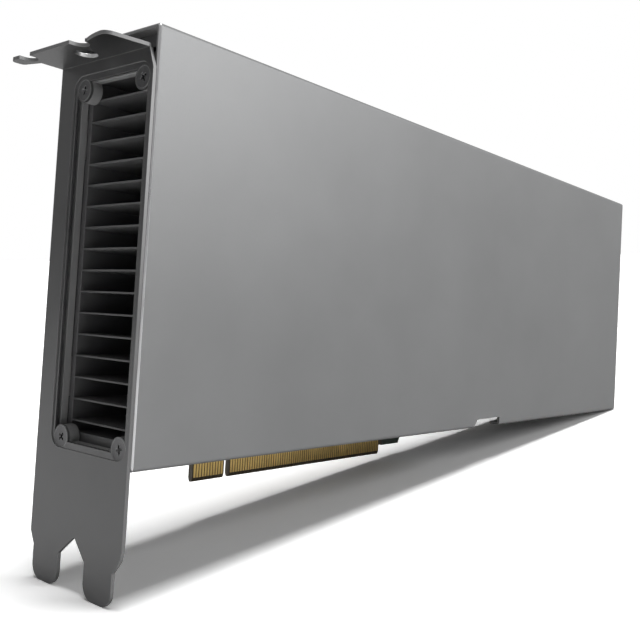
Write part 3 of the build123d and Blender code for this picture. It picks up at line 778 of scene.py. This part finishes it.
class Finishes:
    """Every finish of the card, built once."""

    def __init__(self) -> None:
        """Build the materials."""
        even = (1500.0, 1500.0, 1500.0)
        coat = {"mottle": 0.08, "patches": 60.0}
        self.cover = SatinMetal(
            "cover_aluminium", (0.252, 0.254, 0.256), 0.47, mottle=0.06, grain_depth=0.010 * MM
        ).build()
        # Bare cut aluminium, made this bright also as a painted highlight along the cover's near edge and the
        # heatsink's front face.
        self.cut_edge_painted_highlight = DrawnMetal("cut_aluminium_painted_highlight", (0.62, 0.62, 0.63), 0.30, (900.0, 900.0, 90.0)).build()
        # Lighter copy of the cover for the underside of its top wall: painted light in a shaded underside.
        self.underside_painted_light = SatinMetal(
            "underside_painted_light", (0.42, 0.42, 0.425), 0.55, metallic=0.3, mottle=0.05
        ).build()
        self.bracket = SatinMetal(
            "bracket_coat", (0.108, 0.108, 0.109), 0.35, worn=grey(0.20), worn_radius=0.25 * MM, **coat
        ).build()
        # Lighter copy of the bracket's coat for its sheared rims: a painted highlight along the edges.
        self.rim_painted_highlight = SatinMetal("rim_painted_highlight", (0.20, 0.20, 0.201), 0.45, **coat).build()
        # Bright steel for the wall of the tab's hole: a painted highlight.
        self.hole_painted_highlight = DrawnMetal("hole_wall_painted_highlight", grey(0.62), 0.32, even).build()
        self.frame_plate = SatinMetal("frame_coat", grey(0.26), 0.55, metallic=0.0, **coat).build()
        self.screw = DrawnMetal("screw_steel", grey(0.30), 0.30, even, worn=grey(0.50)).build()
        self.dark_screw = DrawnMetal(
            "blackened_screw", (0.105, 0.105, 0.107), 0.38, even, worn=grey(0.30)
        ).build()
        self.sink = SatinMetal(
            "heatsink_aluminium", (0.115, 0.115, 0.117), 0.5, metallic=0.15, mottle=0.06
        ).build()
        self.fins = SatinMetal(
            "fin_aluminium", (0.13, 0.13, 0.132), 0.5, metallic=0.15, mottle=0.05
        ).build()
        # Darker copy of the fin metal for the fins' front edges: painted shade where the window's rim shades
        # them.
        self.painted_fin_shade = SatinMetal("fin_front_painted_shade", (0.10, 0.10, 0.102), 0.55, metallic=0.2).build()
        self.board = BoardLaminate().build()
        self.gold = GoldPlate().build()
        self.package = Moulded(
            "package_laminate", (0.020, 0.062, 0.030), 0.42, edge=(0.08, 0.12, 0.07)
        ).build()
        self.stiffener = DrawnMetal(
            "stiffener_steel", (0.44, 0.44, 0.45), 0.32, (1400.0, 1400.0, 80.0)
        ).build()
        self.die = Moulded(
            "die_silicon", (0.060, 0.066, 0.080), 0.16, texture=600.0, texture_depth=0.002 * MM
        ).build()
        self.chip = Moulded("chip_epoxy", (0.018, 0.018, 0.019), 0.52, edge=grey(0.045)).build()
        self.pad = Moulded(
            "thermal_pad", (0.30, 0.34, 0.42), 0.75, texture=900.0, texture_depth=0.05 * MM
        ).build()
        self.retention = DrawnMetal(
            "retention_steel", (0.34, 0.34, 0.345), 0.34, (160.0, 1800.0, 1800.0), worn=grey(0.5)
        ).build()
        self.core = Moulded(
            "inductor_core", (0.075, 0.076, 0.080), 0.62, texture=1700.0, texture_depth=0.04 * MM
        ).build()
        self.tin = DrawnMetal("tinned_copper", (0.60, 0.60, 0.59), 0.30, (700.0, 700.0, 700.0)).build()
        self.can = DrawnMetal("capacitor_can", (0.58, 0.58, 0.60), 0.28, (1800.0, 300.0, 1800.0)).build()
        self.mark = Moulded("capacitor_mark", (0.02, 0.02, 0.022), 0.5).build()
        self.plug = Moulded("inlet_nylon", (0.016, 0.016, 0.017), 0.46, edge=grey(0.04)).build()
        self.brass = DrawnMetal("pin_brass", (0.60, 0.44, 0.18), 0.28, (300.0, 1800.0, 1800.0)).build()
        self.post = DrawnMetal(
            "post_aluminium", (0.44, 0.44, 0.45), 0.34, (1600.0, 160.0, 1600.0), worn=grey(0.6)
        ).build()
        self.crystal = DrawnMetal("crystal_can", (0.55, 0.55, 0.56), 0.26, (1200.0,) * 3).build()


@dataclass
class CrossScrew:
    """Machine screw with a cross recess, modelled head up with its seat at the origin."""

    head_radius: float
    head_height: float
    shank_radius: float
    shank_length: float
    countersunk: bool
    sides: int = 40
    rim_height: float = 0.12 * MM
    rim_width: float = 0.22 * MM
    dish_depth: float = 0.05 * MM
    top_reach: float = 0.01 * MM
    crown_share: float = 0.82
    crown_inset: float = 0.35 * MM
    crown_rise: float = 0.10 * MM
    tip_inset_share: float = 0.2
    tip_rise: float = 0.25 * MM
    edge_width: float = 0.07 * MM
    edge_angle: float = 40.0
    recess_span: float = 2.7 * MM
    recess_width: float = 0.62 * MM
    recess_depth: float = 0.85 * MM
    recess_overrun: float = 0.4 * MM
    recess_end_shares: tuple[float, float] = (0.45, 0.6)

    def build(self) -> Piece:
        """Model the head, shank and recess.

        Returns:
            The screw.
        """
        depth = self.rim_height if self.countersunk else self.head_height
        top = 0.0 if self.countersunk else self.head_height
        bpy.ops.mesh.primitive_cylinder_add(
            vertices=self.sides, radius=self.head_radius, depth=depth, location=(0, 0, top - depth / 2)
        )
        screw = settle(bpy.context.active_object)
        step = self.head_radius - self.shank_radius
        with editing(screw):
            pick_faces(screw, looks(z=-1))
            if self.countersunk:
                extrude(0, 0, depth - step)
                narrow(self.shank_radius / self.head_radius, self.shank_radius / self.head_radius)
            else:
                bpy.ops.mesh.inset(thickness=step, depth=0)
            extrude(0, 0, -self.shank_length)
            bpy.ops.mesh.inset(thickness=self.shank_radius * self.tip_inset_share, depth=self.tip_rise)
        self.dome(screw, top)
        self.recess(screw, top)
        round_edges(screw, self.edge_width, angle=self.edge_angle)
        return screw

    def dome(self, screw: Piece, top: float) -> None:
        """Give the head its rim and a dished or crowned top.

        Args:
            screw: The screw.
            top: Height of the head's top.
        """
        up = looks(z=1)
        with editing(screw):
            pick_faces(screw, lambda centre, normal: up(centre, normal) and centre.z > top - self.top_reach)
            if self.countersunk:
                bpy.ops.mesh.inset(thickness=self.rim_width, depth=-self.dish_depth)
            else:
                narrow(self.crown_share, self.crown_share)
                bpy.ops.mesh.inset(thickness=self.crown_inset, depth=self.crown_rise)

    def recess(self, screw: Piece, top: float) -> None:
        """Cut the tapered cross recess into the head.

        Args:
            screw: The screw.
            top: Height of the head's top.
        """
        for turn in (0.0, math.pi / 2):
            wing = add_box(
                "recess_wing",
                (-self.recess_span / 2, -self.recess_width / 2, top - self.recess_depth),
                (self.recess_span / 2, self.recess_width / 2, top + self.recess_overrun),
            )
            with editing(wing):
                pick_faces(wing, looks(z=-1))
                narrow(*self.recess_end_shares)
            wing.data.transform(Matrix.Rotation(turn, 4, "Z"))
            cut_away(screw, wing)


def drive_screws(
    pattern: Piece, name: str, points: Sequence[Vector], side: Facing, spins: Sequence[float]
) -> Piece:
    """Copy a screw to each place on one side of the card and join the copies.

    Args:
        pattern: The finished screw, which is deleted.
        name: Name of the joined piece.
        points: Seats of the heads.
        side: Side of the card that the heads look to.
        spins: Turns of the recesses, in degrees, used in order.

    Returns:
        The joined piece.
    """
    copies = []
    for number, point in enumerate(points):
        spin = Matrix.Rotation(math.radians(spins[number % len(spins)]), 4, "Z")
        copies.append(copy_to(pattern, f"{name}_{number + 1}", Matrix.Translation(point) @ side.turn @ spin))
    bpy.data.objects.remove(pattern, do_unlink=True)
    return join(copies, name)


def solid_boxes(node: str) -> list[Box]:
    """Find the separate solids of a CAD node.

    Args:
        node: Name of the CAD node.

    Returns:
        Lowest and highest corner of each solid, in order along the card.
    """
    mesh = bmesh.new()
    mesh.from_mesh(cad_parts[node].data)
    bmesh.ops.remove_doubles(mesh, verts=mesh.verts, dist=MERGE_REACH)
    todo = set(mesh.verts)
    boxes = []
    while todo:
        island, front = [], [todo.pop()]
        while front:
            vertex = front.pop()
            island.append(vertex.co.copy())
            for edge in vertex.link_edges:
                other = edge.other_vert(vertex)
                if other in todo:
                    todo.remove(other)
                    front.append(other)
        low, high = (Vector([end(places) for places in zip(*island)]) for end in (min, max))
        boxes.append((low, high))
    mesh.free()
    return sorted(boxes, key=lambda box: [round(box[0][axis], 5) for axis in (0, 2, 1)])


def middles(boxes: Sequence[Box], axis: int, level: float) -> list[Vector]:
    """Find where parts stand on a plane square to an axis.

    Args:
        boxes: Lowest and highest corner of each part.
        axis: 0, 1 or 2 for X, Y or Z.
        level: The plane's place on that axis.

    Returns:
        The middle of each box, moved to the plane.
    """
    points = [(low + high) / 2 for low, high in boxes]
    for point in points:
        point[axis] = level
    return points


@dataclass
class Bracket:
    """Folded steel bracket with its four window screws."""

    finishes: Finishes
    edge_width: float = 0.05 * MM
    thickness: float = 0.86 * MM
    hole_centre: tuple[float, float] = (-62.1 * MM, -14.17 * MM)
    hole_reach: float = 2.8 * MM
    head_radius: float = 2.45 * MM
    shank_radius: float = 1.25 * MM
    shank_length: float = 1.8 * MM

    def build(self) -> None:
        """Build the bracket and its screws."""
        plate = cad_copy("io_bracket", "bracket_plate")
        self.mark_rims(plate)
        round_edges(plate, self.edge_width)
        finishes = [self.finishes.bracket, self.finishes.rim_painted_highlight, self.finishes.hole_painted_highlight]
        seat(plate, finishes, ["io_bracket"])
        self.build_screws()

    def mark_rims(self, plate: Piece) -> None:
        """Mark the sheared rims of plate and tab, and the wall of the tab's hole, for their painted
        highlights.

        Args:
            plate: The bracket, before its edges are rounded.
        """
        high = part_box("io_bracket")[1]
        face = high.x - self.thickness
        tab = high.z - 2 * self.thickness
        middle = Vector(self.hole_centre)
        mark_faces(
            plate,
            lambda centre, normal: abs(normal.x) < EDGE_ON and centre.x > face and centre.z < tab
            or abs(normal.z) < EDGE_ON and centre.x < face - self.thickness,
        )
        mark_faces(
            plate,
            lambda centre, normal: abs(normal.z) < EDGE_ON and (centre.xy - middle).length < self.hole_reach,
            2,
        )

    def build_screws(self) -> None:
        """Drive the countersunk screws into the corners of the window."""
        boxes = solid_boxes("bracket_screws")
        points = middles(boxes, 0, min(low.x for low, high in boxes))
        pattern = CrossScrew(self.head_radius, 0.0, self.shank_radius, self.shank_length, True).build()
        screws = drive_screws(pattern, "window_screws", points, Facing.BRACKET, (12.0, 50.0, 31.0, 74.0))
        seat(screws, [self.finishes.dark_screw], ["bracket_screws"])


@dataclass
class Cover:
    """Folded aluminium cover with the screws through its top wall."""

    finishes: Finishes
    edge_width: float = 0.14 * MM
    edge_angle: float = 25.0
    wall_reach: float = 2.0 * MM
    chamfer_reach: float = 1.0 * MM
    chamfer_slant: float = 0.3
    head_radius: float = 2.45 * MM
    shank_radius: float = 1.25 * MM
    shank_length: float = 2.4 * MM

    def build(self) -> None:
        """Build the cover and its screws."""
        shell = cad_copy("shroud_cover", "cover_shell")
        low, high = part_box("shroud_cover")
        near = low.x + self.chamfer_reach
        ceiling = high.z - self.wall_reach
        slant = self.chamfer_slant
        # The near chamfer faces take the bright cut metal: bare metal and a painted highlight.
        mark_faces(
            shell,
            lambda centre, normal: abs(normal.x) > slant and abs(normal.y) > slant and centre.x < near,
        )
        # The underside of the top wall takes a lighter copy of the cover: painted light.
        under = looks(z=-1)
        mark_faces(shell, lambda centre, normal: under(centre, normal) and centre.z > ceiling, 2)
        round_edges(shell, self.edge_width, angle=self.edge_angle)
        finishes = [self.finishes.cover, self.finishes.cut_edge_painted_highlight, self.finishes.underside_painted_light]
        seat(shell, finishes, ["shroud_cover"])
        points = middles(solid_boxes("cover_screws"), 2, high.z)
        pattern = CrossScrew(self.head_radius, 0.0, self.shank_radius, self.shank_length, True).build()
        screws = drive_screws(pattern, "cover_wall_screws", points, Facing.TOP, (20.0, 63.0, 5.0, 41.0))
        seat(screws, [self.finishes.screw], ["cover_screws"])


@dataclass
class Duct:
    """Exhaust frame, heatsink body and fins, which guide the air through the card."""

    finishes: Finishes
    edge_width: float = 0.12 * MM
    fin_edge: float = 0.05 * MM
    front_reach: float = 0.1 * MM
    front_rise: float = 90.0 * MM

    def build(self) -> None:
        """Build the pieces of the duct."""
        look = self.finishes
        dress_copy("exhaust_frame", "exhaust_surround", look.frame_plate, "frame_coat", self.edge_width)
        ahead = looks(x=-1)
        body = cad_copy("heatsink_body", "heatsink_channel")
        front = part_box("heatsink_body")[0].x + self.front_reach
        # The heatsink's front faces near its top take the bright cut metal: bare metal and a painted
        # highlight.
        mark_faces(
            body,
            lambda centre, normal: ahead(centre, normal) and centre.x < front and centre.z > self.front_rise,
        )
        round_edges(body, self.edge_width)
        seat(body, [look.sink, look.cut_edge_painted_highlight], ["heatsink_body"])
        fins = cad_copy("heatsink_fins", "heatsink_plates")
        # The fins' front edges take a darker copy of the fin metal: painted shade.
        mark_faces(fins, ahead)
        round_edges(fins, self.fin_edge)
        seat(fins, [look.fins, look.painted_fin_shade], ["heatsink_fins"])


@dataclass
class Board:
    """Circuit board with its contacts, solder-side frame and screws."""

    finishes: Finishes
    ring_edge: float = 0.15 * MM
    head_radius: float = 2.2 * MM
    head_height: float = 1.3 * MM
    crown_room: float = 0.1 * MM
    tip_room: float = 0.25 * MM
    shank_radius: float = 1.0 * MM

    def build(self) -> None:
        """Dress the board and build what is on its solder side."""
        look = self.finishes
        paint("circuit_board", look.board)
        paint("edge_contacts_component_side", look.gold)
        paint("edge_contacts_solder_side", look.gold)
        dress_copy("retention_frame", "retention_cross", look.retention, "retention_steel", self.ring_edge)
        self.build_screws("board_screws", "solder_side_screws", (8.0, 52.0, 33.0, 70.0, 21.0))
        self.build_screws("retention_screws", "retention_cross_screws", (45.0, 10.0, 80.0, 27.0))

    def build_screws(self, node: str, name: str, spins: Sequence[float]) -> None:
        """Drive one set of screws into the solder side.

        Args:
            node: CAD node of the screws.
            name: Name of the new piece.
            spins: Turns of the recesses, in degrees.
        """
        boxes = solid_boxes(node)
        seat_plane = boxes[0][1].y - self.head_height
        head = self.head_height - self.crown_room
        shank = seat_plane - boxes[0][0].y - self.tip_room
        pattern = CrossScrew(self.head_radius, head, self.shank_radius, shank, False).build()
        screws = drive_screws(pattern, name, middles(boxes, 1, seat_plane), Facing.SOLDER, spins)
        seat(screws, [self.finishes.screw], [node])


@dataclass
class Processor:
    """Processor package and memory on both faces of the board."""

    finishes: Finishes
    edge_width: float = 0.1 * MM
    chip_edge: float = 0.08 * MM
    pad_edge: float = 0.2 * MM
    small_middle: float = 53.7 * MM
    small_pitch: float = 3.6 * MM
    small_half: float = 0.52 * MM

    def build(self) -> None:
        """Dress the package and build the memory chips."""
        look = self.finishes
        chip = (look.chip, "chip_plastic", self.chip_edge)
        paint("processor_die", look.die)
        for row in (
            ("processor_substrate", "processor_base", look.package, "package_laminate", self.edge_width),
            ("processor_stiffener", "processor_ring", look.stiffener, "stiffener_steel", self.edge_width),
            ("memory_chips_component_side", "memory_component_side", *chip),
            ("memory_chips_solder_side", "memory_solder_side", *chip),
            ("memory_thermal_pads", "memory_pads", look.pad, "thermal_pad", self.pad_edge),
        ):
            dress_copy(*row)
        small = EndedChip("decoupling_ceramic", self.small_middle, self.small_pitch, self.small_half)
        paint("decoupling_capacitors", small.build())


@dataclass
class PowerStage:
    """Transistors under their cooler, inductors, capacitors and small chips."""

    finishes: Finishes
    chip_edge: float = 0.08 * MM
    pad_edge: float = 0.1 * MM
    cooler_edge: float = 0.12 * MM
    firmware_edge: float = 0.12 * MM
    tall_middle: float = 180.9 * MM
    tall_pitch: float = 20.0 * MM
    tall_half: float = 1.05 * MM
    core_edge: float = 0.25 * MM
    terminal_height: float = 0.9 * MM
    terminal_half: float = 1.9 * MM
    terminal_stand: float = 0.18 * MM
    terminal_depth: float = 0.5 * MM
    terminal_edge: float = 0.07 * MM
    base_height: float = 0.8 * MM
    base_edge: float = 0.18 * MM
    can_sides: int = 40
    can_height: float = 7.5 * MM
    can_radius: float = 3.15 * MM
    can_edge: float = 0.3 * MM
    can_edge_angle: float = 50.0
    groove_height: float = 1.7 * MM
    groove_half: float = 0.35 * MM
    groove_depth: float = 0.22 * MM
    lid_inset: float = 0.55 * MM
    lid_depth: float = 0.18 * MM
    lead_count: int = 4
    lead_pitch: float = 1.27 * MM
    lead_half: float = 0.2 * MM
    lead_rise: tuple[float, float] = (0.9 * MM, 0.7 * MM)
    lead_root: float = 0.1 * MM
    lead_shoulder: float = 0.35 * MM
    lead_slope: float = 0.2 * MM
    lead_foot: float = 0.5 * MM
    lead_edge: float = 0.03 * MM

    def build(self) -> None:
        """Build the parts of the power stage."""
        look = self.finishes
        chip = (look.chip, "chip_plastic", self.chip_edge)
        for row in (
            ("power_transistors", "transistor_packages", *chip),
            ("power_stage_pad", "cooler_pad", look.pad, "thermal_pad", self.pad_edge),
            ("power_stage_heatsink", "power_stage_cooler", look.sink, "heatsink_aluminium", self.cooler_edge),
            ("power_controllers", "controller_packages", *chip),
            ("clock_crystal", "crystal_package", look.crystal, "crystal_can", self.chip_edge),
            ("power_inductors", "inductor_cores", look.core, "inductor_core", self.core_edge, 3),
            ("firmware_chip", "firmware_package", look.chip, "chip_plastic", self.firmware_edge),
        ):
            dress_copy(*row)
        tall = EndedChip("bulk_ceramic", self.tall_middle, self.tall_pitch, self.tall_half)
        paint("ceramic_capacitors", tall.build())
        self.build_terminals()
        self.build_capacitors()
        self.build_leads()

    def build_terminals(self) -> None:
        """Build a tinned terminal at each end of every inductor."""
        terminals = []
        for low, high in solid_boxes("power_inductors"):
            middle = (low.z + high.z) / 2
            for side, end in ((-1.0, low.x), (1.0, high.x)):
                start, stop = sorted((end + side * self.terminal_stand, end - side * self.terminal_depth))
                low_corner = (start, high.y - self.terminal_height, middle - self.terminal_half)
                terminals.append(add_box("tab", low_corner, (stop, high.y, middle + self.terminal_half)))
        tabs = join(terminals, "inductor_terminals")
        round_edges(tabs, self.terminal_edge)
        seat(tabs, [self.finishes.tin])

    def model_can(self) -> Piece:
        """Model a capacitor's can, with its groove and its sunken lid.

        Returns:
            The can, standing on the origin.
        """
        bpy.ops.mesh.primitive_cylinder_add(
            vertices=self.can_sides,
            radius=self.can_radius,
            depth=self.can_height - self.base_height,
            location=(0, 0, (self.can_height + self.base_height) / 2),
        )
        can = settle(bpy.context.active_object)
        waist = (self.can_radius - self.groove_depth) / self.can_radius
        with editing(can):
            for rise in (-self.groove_half, 0.0, self.groove_half):
                bpy.ops.mesh.select_all(action="SELECT")
                bpy.ops.mesh.bisect(plane_co=(0, 0, self.groove_height + rise), plane_no=(0, 0, 1))
            bpy.ops.mesh.select_mode(type="VERT")
            bpy.ops.mesh.select_all(action="DESELECT")
            mesh = bmesh.from_edit_mesh(can.data)
            for vertex in mesh.verts:
                vertex.select_set(abs(vertex.co.z - self.groove_height) < self.groove_half / 2)
            mesh.select_flush(True)
            bmesh.update_edit_mesh(can.data)
            narrow(waist, waist)
            bpy.ops.mesh.select_mode(type="FACE")
            bpy.ops.mesh.select_all(action="DESELECT")
            pick_faces(can, looks(z=1))
            bpy.ops.mesh.inset(thickness=self.lid_inset, depth=-self.lid_depth)
        round_edges(can, self.can_edge, 3, self.can_edge_angle)
        return can

    def build_capacitors(self) -> None:
        """Copy a can and its base to the place of every capacitor."""
        can = self.model_can()
        reach = self.can_radius
        base = add_box("base", (-reach, -reach, 0), (reach, reach, self.base_height))
        round_edges(base, self.base_edge)
        boxes = solid_boxes("bulk_capacitors")
        for number, point in enumerate(middles(boxes, 1, boxes[0][1].y)):
            place = Matrix.Translation(point) @ Facing.COVER.turn
            body = copy_to(can, f"capacitor_can_{number + 1}", place)
            seat(body, [self.finishes.can], ["bulk_capacitors"])
            foot = copy_to(base, f"capacitor_base_{number + 1}", place)
            seat(foot, [self.finishes.mark], ["bulk_capacitors"])
        for pattern in (can, base):
            bpy.data.objects.remove(pattern, do_unlink=True)

    def build_leads(self) -> None:
        """Build the firmware chip's rows of bent leads."""
        low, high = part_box("firmware_chip")
        top, under = self.lead_rise
        leads = []
        for side, edge in ((-1.0, low.z), (1.0, high.z)):
            start, end = sorted((edge - side * self.lead_root, edge + side * self.lead_shoulder))
            for number in range(self.lead_count):
                middle = (low.x + high.x) / 2 + (number - (self.lead_count - 1) / 2) * self.lead_pitch
                lead = add_box(
                    "lead",
                    (middle - self.lead_half, high.y - top, start),
                    (middle + self.lead_half, high.y - under, end),
                )
                with editing(lead):
                    pick_faces(lead, looks(z=side))
                    extrude(0, under, side * self.lead_slope)
                    extrude(0, 0, side * self.lead_foot)
                leads.append(lead)
        pins = join(leads, "firmware_leads")
        round_edges(pins, self.lead_edge, 1)
        seat(pins, [self.finishes.tin])


@dataclass
class FarEnd:
    """Power inlets with their pins, and the threaded posts."""

    finishes: Finishes
    inlet_edge: float = 0.12 * MM
    pin_edge: float = 0.18 * MM
    post_edge: float = 0.2 * MM

    def build(self) -> None:
        """Build the pieces at the far end."""
        look = self.finishes
        inlet = (look.plug, "inlet_plastic", self.inlet_edge)
        post = (look.post, "post_aluminium", self.post_edge)
        for row in (
            ("eight_pin_power_inlet", "eight_way_inlet", *inlet),
            ("six_pin_power_inlet", "six_way_inlet", *inlet),
            ("power_inlet_pins", "inlet_pins", look.brass, "pin_brass", self.pin_edge),
            ("lower_rear_post", "lower_post", *post),
            ("upper_rear_post", "upper_post", *post),
        ):
            dress_copy(*row)


@dataclass
class Studio:
    """Floor, backdrop, lamps and camera."""

    focal_pixels: float = 817.115
    principal: tuple[float, float] = (352.030, 288.492)
    picture: tuple[float, float] = (640.0, 634.0)
    sensor_width: float = 36.0
    nearest: float = 5.0 * MM
    eye: tuple[float, float, float] = (-162.9449 * MM, -175.1655 * MM, 46.6501 * MM)
    right: tuple[float, float, float] = (0.626017, -0.777874, 0.054905)
    down: tuple[float, float, float] = (0.065179, -0.017967, -0.997712)
    forward: tuple[float, float, float] = (0.777081, 0.628163, 0.039453)
    near_foot: tuple[float, float] = (-58.1 * MM, -16.4 * MM)
    far_foot: tuple[float, float] = (209.5 * MM, 12.4 * MM)
    floor_size: float = 24.0
    paper: tuple[float, float] = (0.89, 0.91)
    floor_white: float = 1.42
    # Floor tone for glossy rays, beyond the bracket end and then further along: a painted reflection.
    floor_painted_reflection: tuple[float, float] = (1.05, 0.62)
    painted_reflection_split: tuple[float, float] = (-0.10, 0.06)
    ambient: float = 0.12
    gloss_levels: tuple[float, float] = (0.40, 1.0)
    gloss_aim: tuple[float, float, float] = (0.34, -0.75, 0.57)
    gloss_reach: tuple[float, float] = (0.34, 0.94)
    overheads: tuple[tuple[str, float, float, float], ...] = (
        ("overhead_front", 7.5, 17.0, 0.46),
        ("overhead_back", -3.0, 17.0, 0.42),
    )
    front_lamp: tuple[float, float, float] = (0.62, -1.12, 0.74)
    front_lamp_size: float = 0.70
    front_lamp_power: float = 5.3
    front_lamp_aim: tuple[float, float, float] = (0.07, -0.01, 0.05)

    def build(self) -> None:
        """Set up the camera, floor, lamps and world."""
        self.place_camera()
        self.lay_floor()
        self.hang_lamps()
        self.light_world()

    def place_camera(self) -> None:
        """Put the camera at the photograph's viewing point."""
        width, height = self.picture
        data = bpy.data.cameras.new("camera")
        data.sensor_fit = "HORIZONTAL"
        data.sensor_width = self.sensor_width
        data.lens = self.focal_pixels / width * self.sensor_width
        data.shift_x = (width / 2 - self.principal[0]) / width
        data.shift_y = (self.principal[1] - height / 2) / width
        data.clip_start = self.nearest
        camera = put_in_scene("camera", data)
        turn = Matrix((Vector(self.right), -Vector(self.down), -Vector(self.forward))).transposed()
        camera.matrix_world = Matrix.Translation(self.eye) @ turn.to_4x4()
        bpy.context.scene.camera = camera

    def lay_floor(self) -> None:
        """Lay the floor under the tongue tips and the far lower edge, with a painted reflection for glossy
        rays.
        """
        rise = math.atan2(self.far_foot[1] - self.near_foot[1], self.far_foot[0] - self.near_foot[0])
        start = (self.near_foot[0], 0, self.near_foot[1])
        bpy.ops.mesh.primitive_plane_add(size=self.floor_size, rotation=(0, -rise, 0), location=start)
        floor = bpy.context.active_object
        floor.name = "floor"
        sheet = blank_finish("studio_floor")
        paper = sheet.mix(sheet.noise(40.0), *map(grey, self.paper))
        seen = sheet.mix(sheet.ray("Is Camera Ray"), paper, grey(self.floor_white))
        # Glossy rays see the floor brighter beyond the bracket end than further along: a painted reflection
        # in the card's metal.
        side = sheet.spread(sheet.part("X", sheet.surface("Position")), self.painted_reflection_split)
        gloss = sheet.mix(side, *map(grey, self.floor_painted_reflection))
        seen = sheet.mix(sheet.ray("Is Glossy Ray"), seen, gloss)
        matt = sheet.add("ShaderNodeBsdfDiffuse", "BSDF", {"Color": seen})
        sheet.feed(sheet.first("OUTPUT_MATERIAL").inputs["Surface"], matt)
        floor.data.materials.append(sheet.owner)

    def hang_lamps(self) -> None:
        """Hang two overhead lights, one each side of upright, and a high front lamp."""
        for name, lean, width, strength in self.overheads:
            data = bpy.data.lights.new(name, "SUN")
            data.energy = strength * math.pi
            data.angle = math.radians(width)
            aim = Vector((0.0, math.tan(math.radians(lean)), -1.0))
            put_in_scene(name, data).rotation_euler = aim.to_track_quat("-Z", "Y").to_euler()
        data = bpy.data.lights.new("front_lamp", "AREA")
        data.size = self.front_lamp_size
        data.energy = self.front_lamp_power
        lamp = put_in_scene("front_lamp", data)
        lamp.location = self.front_lamp
        aim = Vector(self.front_lamp_aim) - Vector(self.front_lamp)
        lamp.rotation_euler = aim.to_track_quat("-Z", "Y").to_euler()

    def light_world(self) -> None:
        """Light the world softly and show white behind the card."""
        world = bpy.data.worlds.new("studio_world")
        bpy.context.scene.world = world
        sheet = NodeSheet(world, "Generated")
        seen = sheet.math("MAXIMUM", sheet.ray("Is Camera Ray"), sheet.ray("Is Transmission Ray"))
        level = sheet.spread(seen, FULL_RANGE, (self.ambient, 1.0))
        toward = sheet.agreement(sheet.place, self.gloss_aim)
        sweep = sheet.spread(toward, self.gloss_reach, self.gloss_levels, "SMOOTHSTEP")
        gloss = sheet.math("MULTIPLY", sheet.ray("Is Glossy Ray"), sweep)
        background = sheet.first("BACKGROUND")
        sheet.feed(background.inputs["Color"], (1.0, 1.0, 1.0, 1.0))
        sheet.feed(background.inputs["Strength"], sheet.math("MAXIMUM", level, gloss))


def main() -> None:
    """Build the studio and every sub-assembly in order."""
    logging.basicConfig(level=logging.INFO, format="%(name)s: %(message)s")
    bpy.context.scene.view_settings.view_transform = "Standard"
    Studio().build()
    finishes = Finishes()
    for sub_assembly in (Bracket, Cover, Duct, Board, Processor, PowerStage, FarEnd):
        sub_assembly(finishes).build()
        LOG.info("%s finished", sub_assembly.__name__)


if __name__ == "__main__":
    main()
